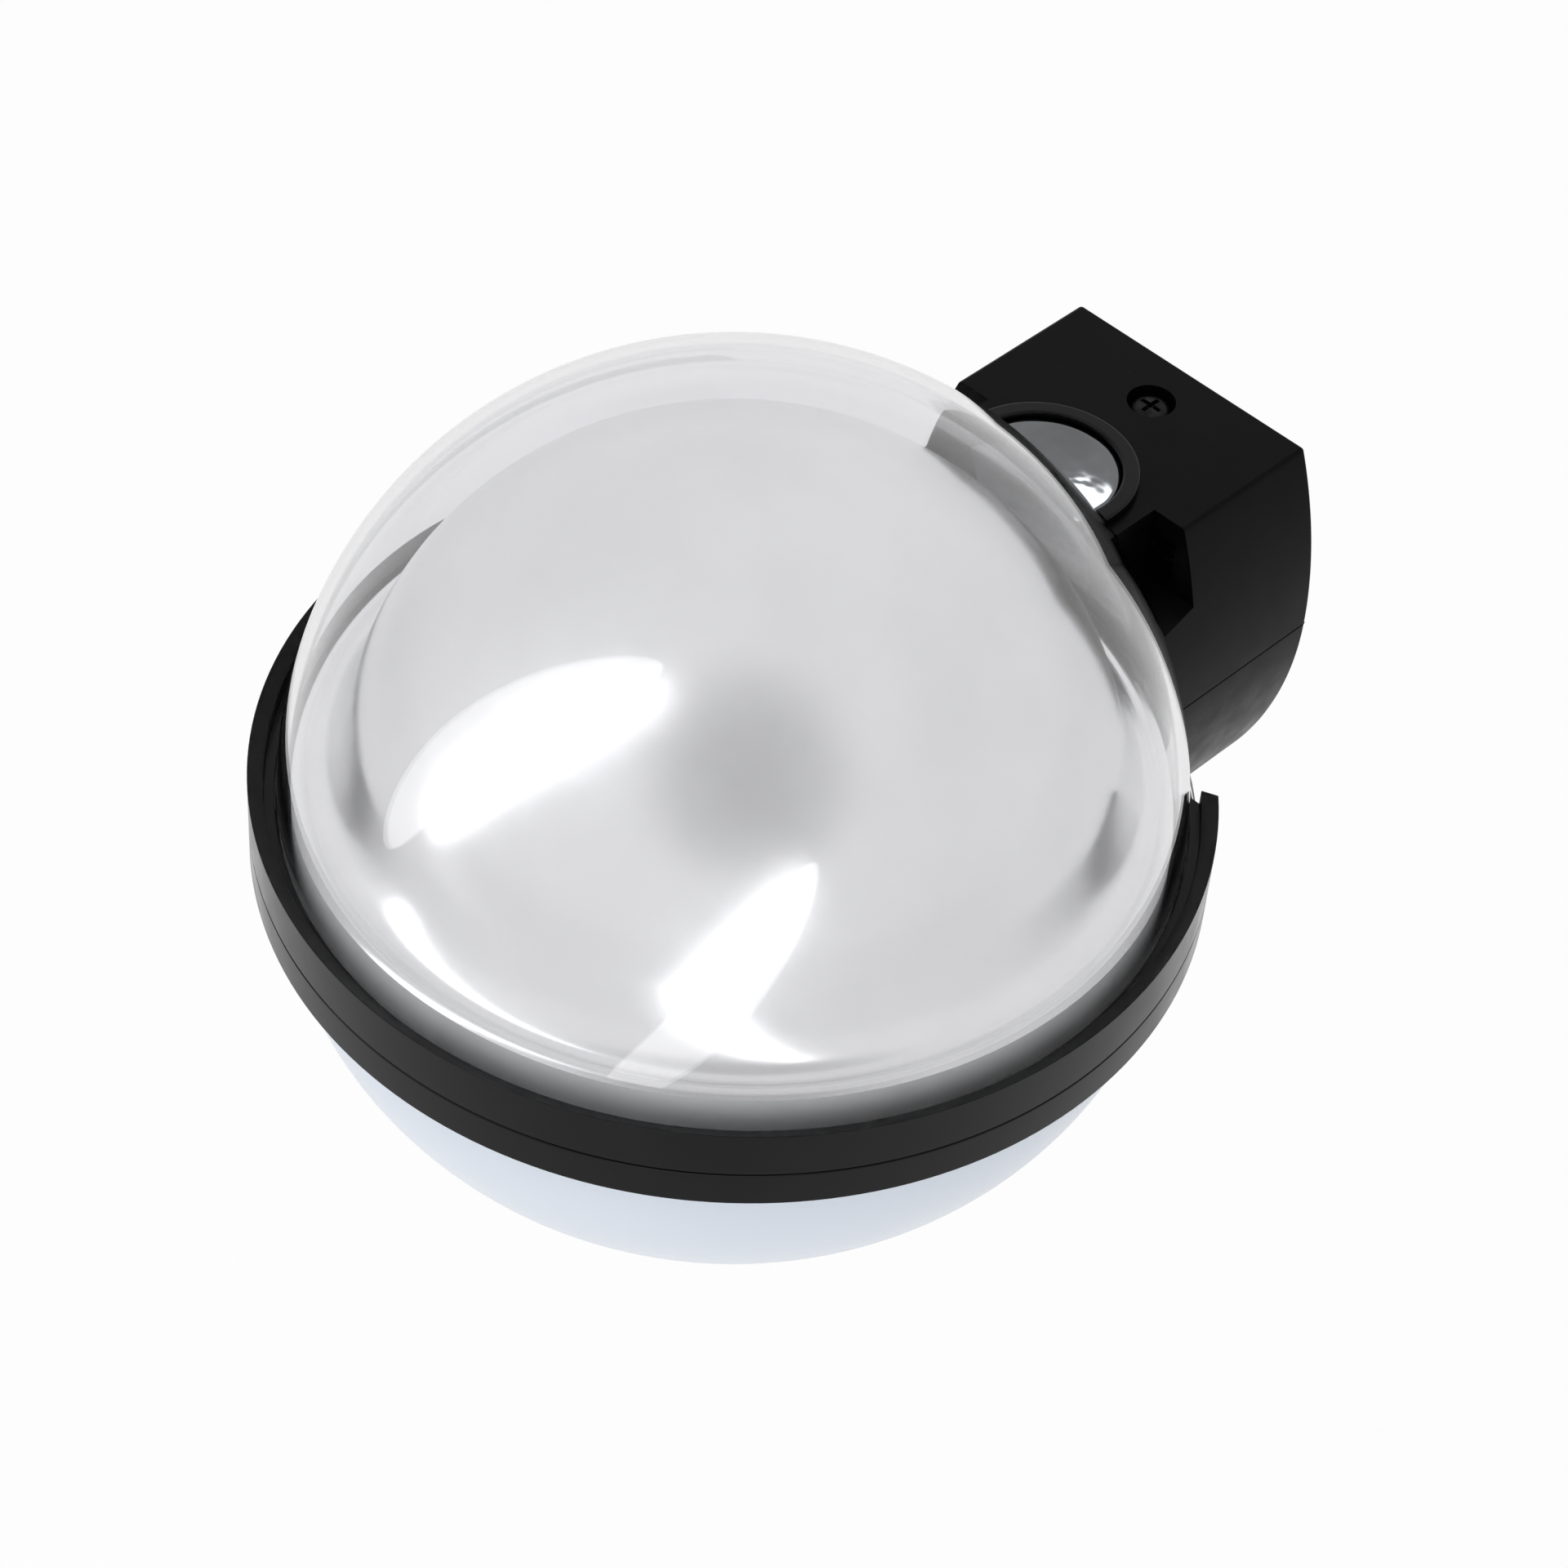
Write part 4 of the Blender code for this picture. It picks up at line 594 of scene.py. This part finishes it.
def makeHousing(s):
    b = bracketSettings
    low = seamZ + gap / 2
    front = -b["depth"]
    shell = barrelShell("bracketHousing", "base", "bracket_housing", low, topZ)
    notch = [(front - s["ledgeRun"], s["ledgeFrontZ"]), (front, s["ledgeBackZ"]), (front, topZ + past),
             (front - s["ledgeRun"], topZ + past)]
    cuts = [tool("notchRight", pushed(notch, s["neckHalf"], b["half"] + past, 0)),
            tool("notchLeft", pushed(notch, -b["half"] - past, -s["neckHalf"], 0)),
            globeTool("globeRoom", clearRadius)]
    rooms = roomTools("housingRoom", low - past, topZ - b["wall"], s["deckLow"] - gap / 2)
    carve(shell, *cuts, *rooms[:2])
    bossSpots = {side: (side * s["bossX"], s["bossY"]) for side in (-1, 1)}
    bosses = [tool(f"boss{side}", cylinder(s["bossRadius"], spot, domeLow.z - s["bossDrop"],
                                           s["deckTop"] - past, 2)) for side, spot in bossSpots.items()]
    lockFloorZ = topZ - s["lockDeep"] - s["lockFloor"]
    added = [tool("deck", block((-s["neckHalf"], front + b["wall"] - s["deckBite"], s["deckLow"]),
                                (s["neckHalf"], s["deckBack"], s["deckTop"]))),
             tool("lockBoss", cylinder(s["lockBoss"], (0, s["lockY"]), lockFloorZ, topZ - past, 2))] + bosses
    added += knuckleTools([b["backKnuckle"], b["frontKnuckle"]], 1)
    fuse(shell, *added)
    lock = (0, s["lockY"])
    holes = [tool("buttonWell", cylinder(s["wellRadius"], (0, s["buttonY"]), s["deckTop"], topZ + past, 2,
                                         s["wellSteps"])),
             tool("stemHole", cylinder(s["stemRadius"], (0, s["stemY"]), 0.0, s["deckTop"] + past, 2)),
             tool("lockWell", cylinder(s["lockWell"], lock, topZ - s["lockDeep"], topZ + past, 2)),
             tool("lockHole", cylinder(s["lockHole"], lock, lockFloorZ - past, topZ, 2)),
             hingeHole("hingeHole"),
             tool("tongueRoom", block((-s["tongueHalf"], axisY, low - past),
                                      (s["tongueHalf"], s["deckBack"] - s["tongueShort"], -gap)))]
    portTop = s["portZ"] + s["portHeight"]
    for side, spot in bossSpots.items():
        near, far = sorted((side * s["portX"], side * (s["portX"] + s["portWidth"])))
        holes.append(tool(f"port{side}", block((near, front - past, s["portZ"]),
                                               (far, front + b["wall"] + past, portTop))))
        holes.append(tool(f"pilot{side}", cylinder(s["pilotRadius"], spot, s["pilotFoot"],
                                                   s["deckLow"] - past, 2, s["pilotSteps"])))
    carve(shell, *holes)
    settle(shell, cuts + rooms + added + holes)


# lower half of the bracket, hinged at the seam, with a round knock-out in its foot
coverSettings = {"knockRadius": 8.0 * mm, "knockDeep": 0.75 * mm}


def makeCover(s):
    b = bracketSettings
    high = seamZ - gap / 2
    shell = barrelShell("terminalCover", "cover", "terminal_cover", bottomZ, high)
    rooms = roomTools("coverRoom", bottomZ + b["wall"], high + past, high + past)
    cuts = [globeTool("coverGlobeRoom", clearRadius),
            tool("knockOut", cylinder(s["knockRadius"], (0, -b["depth"] / 2), bottomZ - past,
                                      bottomZ + s["knockDeep"], 2))]
    carve(shell, *cuts, *rooms[:2])
    added = knuckleTools([(b["frontKnuckle"][1] + gap, b["backKnuckle"][0] - gap)], -1)
    fuse(shell, *added)
    hole = hingeHole("coverHingeHole")
    carve(shell, hole)
    settle(shell, cuts + rooms + added + [hole])


# half-moon button: a chromed cap with a slightly domed top, hollow, cut to the globe's curve
buttonSettings = {"radius": 16.8 * mm, "crown": 0.8 * mm, "rimRound": 1.0 * mm, "wall": 1.8 * mm,
                  "frontAir": 1.2 * mm, "travel": 2.0 * mm, "bossRadius": 3.2 * mm, "bossZ": 22.0 * mm,
                  "stemRadius": 1.6 * mm, "edge": 0.35 * mm, "softAngle": 50, "skirtLift": 2.5 * mm,
                  "crownShare": 0.94, "rimShare": 0.985, "rimFall": 0.3, "crownSteps": 10, "steps": 128,
                  "insideSteps": 96}


def makeButton(s):
    low, high = lowHigh("test_button")
    skirt = housingSettings["deckTop"] + s["skirtLift"]
    centre = (0, housingSettings["buttonY"], 0)
    shares = [s["crownShare"] * i / s["crownSteps"] for i in range(s["crownSteps"] + 1)]
    crown = [(s["radius"] * share, high.z - s["crown"] * share ** 2) for share in shares]
    side = [(s["radius"] * s["rimShare"], high.z - s["crown"] - s["rimRound"] * s["rimFall"]),
            (s["radius"], high.z - s["crown"] - s["rimRound"]), (s["radius"], skirt), (0.0, skirt)]
    pad = keep("testButton", spun(crown + side, centre, s["steps"]), "chrome", "button", "test_button")
    front = upperDomeSettings["radius"] + s["frontAir"]
    outer = globeTool("buttonFront", front, s["travel"])
    carve(pad, outer)
    soften(pad, s["edge"], s["softAngle"])
    inside = tool("buttonInside", cylinder(s["radius"] - s["wall"], centre[:2], skirt - past,
                                           high.z - s["wall"] - s["crown"], 2, s["insideSteps"]))
    inner = globeTool("buttonInsideFront", front + s["wall"], s["travel"])
    carve(inside, inner)
    stem = (0, housingSettings["stemY"])
    added = [tool("buttonBoss", cylinder(s["bossRadius"], stem, s["bossZ"], high.z - s["wall"], 2)),
             tool("buttonStem", cylinder(s["stemRadius"], stem, low.z, s["bossZ"] + past, 2))]
    carve(pad, inside)
    fuse(pad, *added)
    settle(pad, [outer, inside, inner] + added)


# return spring under the button: round wire, with its end turns closed; the real one flattens as the button
# goes in, this one keeps its length
springSettings = {"wire": 0.5 * mm, "radius": 2.5 * mm, "turns": 7, "closed": 1.0, "closedPitch": 1.05 * mm,
                  "pointsPerTurn": 28, "wireSides": 12}


def makeSpring(s):
    low, high = lowHigh("test_spring")
    centre = Vector((0, housingSettings["stemY"], 0))
    count = s["turns"] * s["pointsPerTurn"]
    free = s["turns"] - 2 * s["closed"]
    foot, top = low.z + s["wire"], high.z - s["wire"]
    ends = s["closedPitch"] * s["closed"]
    shape = bmesh.new()
    rings = []
    for i in range(count + 1):
        turned = i / s["pointsPerTurn"]
        opened = min(max(turned - s["closed"], 0.0), free)
        rise = foot + s["closedPitch"] * (turned - opened) + (top - foot - 2 * ends) * opened / free
        angle = 2 * math.pi * turned
        out = Vector((math.cos(angle), math.sin(angle), 0))
        middle = centre + out * s["radius"] + Vector((0, 0, rise))
        ring = []
        for side in range(s["wireSides"]):
            around = 2 * math.pi * side / s["wireSides"]
            ring.append(shape.verts.new(middle + s["wire"] * (out * math.cos(around)
                                                              + Vector((0, 0, math.sin(around))))))
        rings.append(ring)
    for first, second in zip(rings, rings[1:]):
        for a in range(s["wireSides"]):
            b = (a + 1) % s["wireSides"]
            shape.faces.new((first[a], first[b], second[b], second[a]))
    shape.faces.new(rings[0])
    shape.faces.new(list(reversed(rings[-1])))
    bmesh.ops.recalc_face_normals(shape, faces=shape.faces)
    spring = settle(keep("testSpring", shape, "zinc", "base", "test_spring"))
    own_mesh(spring)


# raised collar round the button
bezelSettings = {"radius": 20.8 * mm, "height": 1.9 * mm, "round": 0.7 * mm, "roundSteps": 6}


def makeBezel(s):
    base, inner = topZ + gap, housingSettings["wellRadius"]
    top = base + s["height"]
    foot = [(inner, base), (s["radius"], base)]    # stays square, on the bracket's top
    corners = rounded(foot + [(s["radius"], top), (inner, top)], s["round"], s["roundSteps"])
    shape = spun(foot + corners[2 * (s["roundSteps"] + 1):], (0, housingSettings["buttonY"], 0))
    bezel = keep("padBezel", shape, "black_plastic", "base", "pad_bezel", glossAbs)
    room = globeTool("bezelRoom", clearRadius)
    carve(bezel, room)
    settle(bezel, [room])


# pan head screw with a cross recess
lockSettings = {"head": 4.6 * mm, "headThick": 3.0 * mm, "crown": 1.65 * mm, "crownPower": 0.55,
                "crownSteps": 12, "shank": 2.0 * mm, "recess": 2.6 * mm, "slot": 0.55 * mm,
                "deep": 1.5 * mm, "slotRound": 0.2 * mm, "steps": 64}


def makeLockScrew(s):
    low, high = lowHigh("lock_screw")
    crown = quarter(high.z - s["crown"], s["head"], s["crown"], 90, 0, s["crownSteps"], s["crownPower"])
    profile = crown + [(s["head"], high.z - s["headThick"]), (s["shank"], high.z - s["headThick"]),
                       (s["shank"], low.z), (0.0, low.z)]
    centre = (0, housingSettings["lockY"], 0)
    screw = keep("lockScrew", spun(profile, centre, s["steps"]), "black_steel", "base", "lock_screw")
    arms = [tool(name, block((-x, centre[1] - y, high.z - s["deep"]), (x, centre[1] + y, high.z + past)),
                 s["slotRound"])
            for name, x, y in (("recessA", s["recess"], s["slot"]), ("recessB", s["slot"], s["recess"]))]
    carve(screw, *arms)
    settle(screw, arms)


print("sizes read")
makeCamera(cameraSettings)
makeUpperDome(upperDomeSettings)
makeSilverDome(silverDomeSettings)
makeBand(bandSettings, "upper_band", True)
makeBand(bandSettings, "lower_band", False)
makeBowl(bowlSettings)
print("globe made")
makeHousing(housingSettings)
makeCover(coverSettings)
print("bracket made")
makeButton(buttonSettings)
makeSpring(springSettings)
makeBezel(bezelSettings)
makeLockScrew(lockSettings)
print("button made")


# floor and studio; both show plain white, and the lamps are large and soft
studioSettings = {"floorZ": -300 * mm, "floorSize": 8.0, "worldLight": 0.6, "mirroredLight": 1.04,
                  "floorWhite": 0.95,
                  "darkPlaces": [{"azimuth": -42, "elevation": 52, "inner": 4, "outer": 34, "left": 0.66}]}


def makeFloor(s):
    shape = bmesh.new()
    bmesh.ops.create_grid(shape, x_segments=1, y_segments=1, size=s["floorSize"])
    bmesh.ops.translate(shape, verts=shape.verts, vec=(0, 0, s["floorZ"]))
    floor = placed("floor", shape)
    material, tree = newMaterial("paleFloor")
    share = addNode(tree, "ShaderNodeMath", {"operation": "MULTIPLY"})
    tree.links.new(seenRays(tree, "Is Camera Ray", "Is Glossy Ray", "Is Transmission Ray"), share.inputs[0])
    share.inputs[1].default_value = s["floorWhite"]
    plain = addNode(tree, "ShaderNodeBsdfDiffuse", {"Color": linear("#F8F8F8")})
    bright = addNode(tree, "ShaderNodeEmission", {"Color": (1, 1, 1, 1), "Strength": 1.0})
    finishMaterial(tree, blended(tree, share.outputs[0], plain.outputs["BSDF"], bright.outputs["Emission"]))
    floor.data.materials.append(material)


def makeWorld(s):
    world = bpy.data.worlds.new("studio")
    bpy.context.scene.world = world
    world.use_nodes = True
    tree = world.node_tree
    tree.nodes.clear()
    white = (1, 1, 1, 1)
    light = addNode(tree, "ShaderNodeBackground", {"Color": white, "Strength": s["worldLight"]})
    mirrored = addNode(tree, "ShaderNodeBackground", {"Color": white}, Strength=darkRoom(tree, s))
    backdrop = addNode(tree, "ShaderNodeBackground", {"Color": white, "Strength": 1.0})
    first = blended(tree, seenRays(tree, "Is Glossy Ray", "Is Transmission Ray"),
                    light.outputs["Background"], mirrored.outputs["Background"])
    both = blended(tree, seenRays(tree, "Is Camera Ray"), first, backdrop.outputs["Background"])
    addNode(tree, "ShaderNodeOutputWorld", Surface=both)


def towards(azimuth, elevation):    # a direction, from degrees
    a, e = math.radians(azimuth), math.radians(elevation)
    return Vector((math.cos(a) * math.cos(e), math.sin(a) * math.cos(e), math.sin(e)))


def darkRoom(tree, s):    # what polished parts mirror: a white studio with darker places in it
    level = addNode(tree, "ShaderNodeValue")
    level.outputs[0].default_value = s["mirroredLight"]
    level = level.outputs[0]
    look = addNode(tree, "ShaderNodeTexCoord").outputs["Generated"]
    for place in s["darkPlaces"]:
        facing = addNode(tree, "ShaderNodeVectorMath", {"operation": "DOT_PRODUCT"})
        tree.links.new(look, facing.inputs[0])
        facing.inputs[1].default_value = towards(place["azimuth"], place["elevation"])
        share = addNode(tree, "ShaderNodeMapRange", {"interpolation_type": "SMOOTHSTEP",
                        "From Min": math.cos(math.radians(place["outer"])), "To Min": 1.0,
                        "From Max": math.cos(math.radians(place["inner"])), "To Max": place["left"]},
                        Value=facing.outputs["Value"])
        product = addNode(tree, "ShaderNodeMath", {"operation": "MULTIPLY"})
        tree.links.new(level, product.inputs[0])
        tree.links.new(share.outputs["Result"], product.inputs[1])
        level = product.outputs[0]
    return level


# softboxes: strips that reach from one direction to another, in degrees of azimuth and elevation seen from
# the globe, and how bright each one looks; the last one lights the button only
lampSettings = {
    "leftStrip": {"start": (-131, -12), "end": (-97, 66), "distance": 1.1, "width": 0.30, "bright": 2.3},
    "frontStrip": {"start": (-72, -36), "end": (-26, 28), "distance": 0.46, "width": 0.10, "bright": 2.4},
    "padLamp": {"start": (90, 44.5), "end": (160, 44.5), "distance": 1.4, "width": 0.42, "bright": 8.4,
                "only": ["testButton"]},
}


def makeLamp(name, s):
    start, end = towards(*s["start"]), towards(*s["end"])
    middle = (start + end).normalized()
    along = (end - start).normalized()
    length = 2 * s["distance"] * math.tan(start.angle(end) / 2)
    lamp = bpy.data.lights.new(name, "AREA")
    lamp.shape = "ELLIPSE"
    lamp.size = s["width"]
    lamp.size_y = length
    area = math.pi / 4 * s["width"] * length
    lamp.energy = s["bright"] * math.pi * area
    made = bpy.data.objects.new(name, lamp)
    made.matrix_world = Matrix.Translation(Vector(globeAxis) + middle * s["distance"]) @ Matrix(
        (along.cross(middle), along, middle)).transposed().to_4x4()
    made.visible_camera = False
    bpy.context.scene.collection.objects.link(made)
    if "only" in s:
        lit = bpy.data.collections.new(name + "Lit")
        for pieceName in s["only"]:
            lit.objects.link(bpy.data.objects[pieceName])
        made.light_linking.receiver_collection = lit


makeFloor(studioSettings)
makeWorld(studioSettings)
for lampName, lampValues in lampSettings.items():
    makeLamp(lampName, lampValues)
bpy.context.scene.view_settings.view_transform = "Standard"
print("studio made")
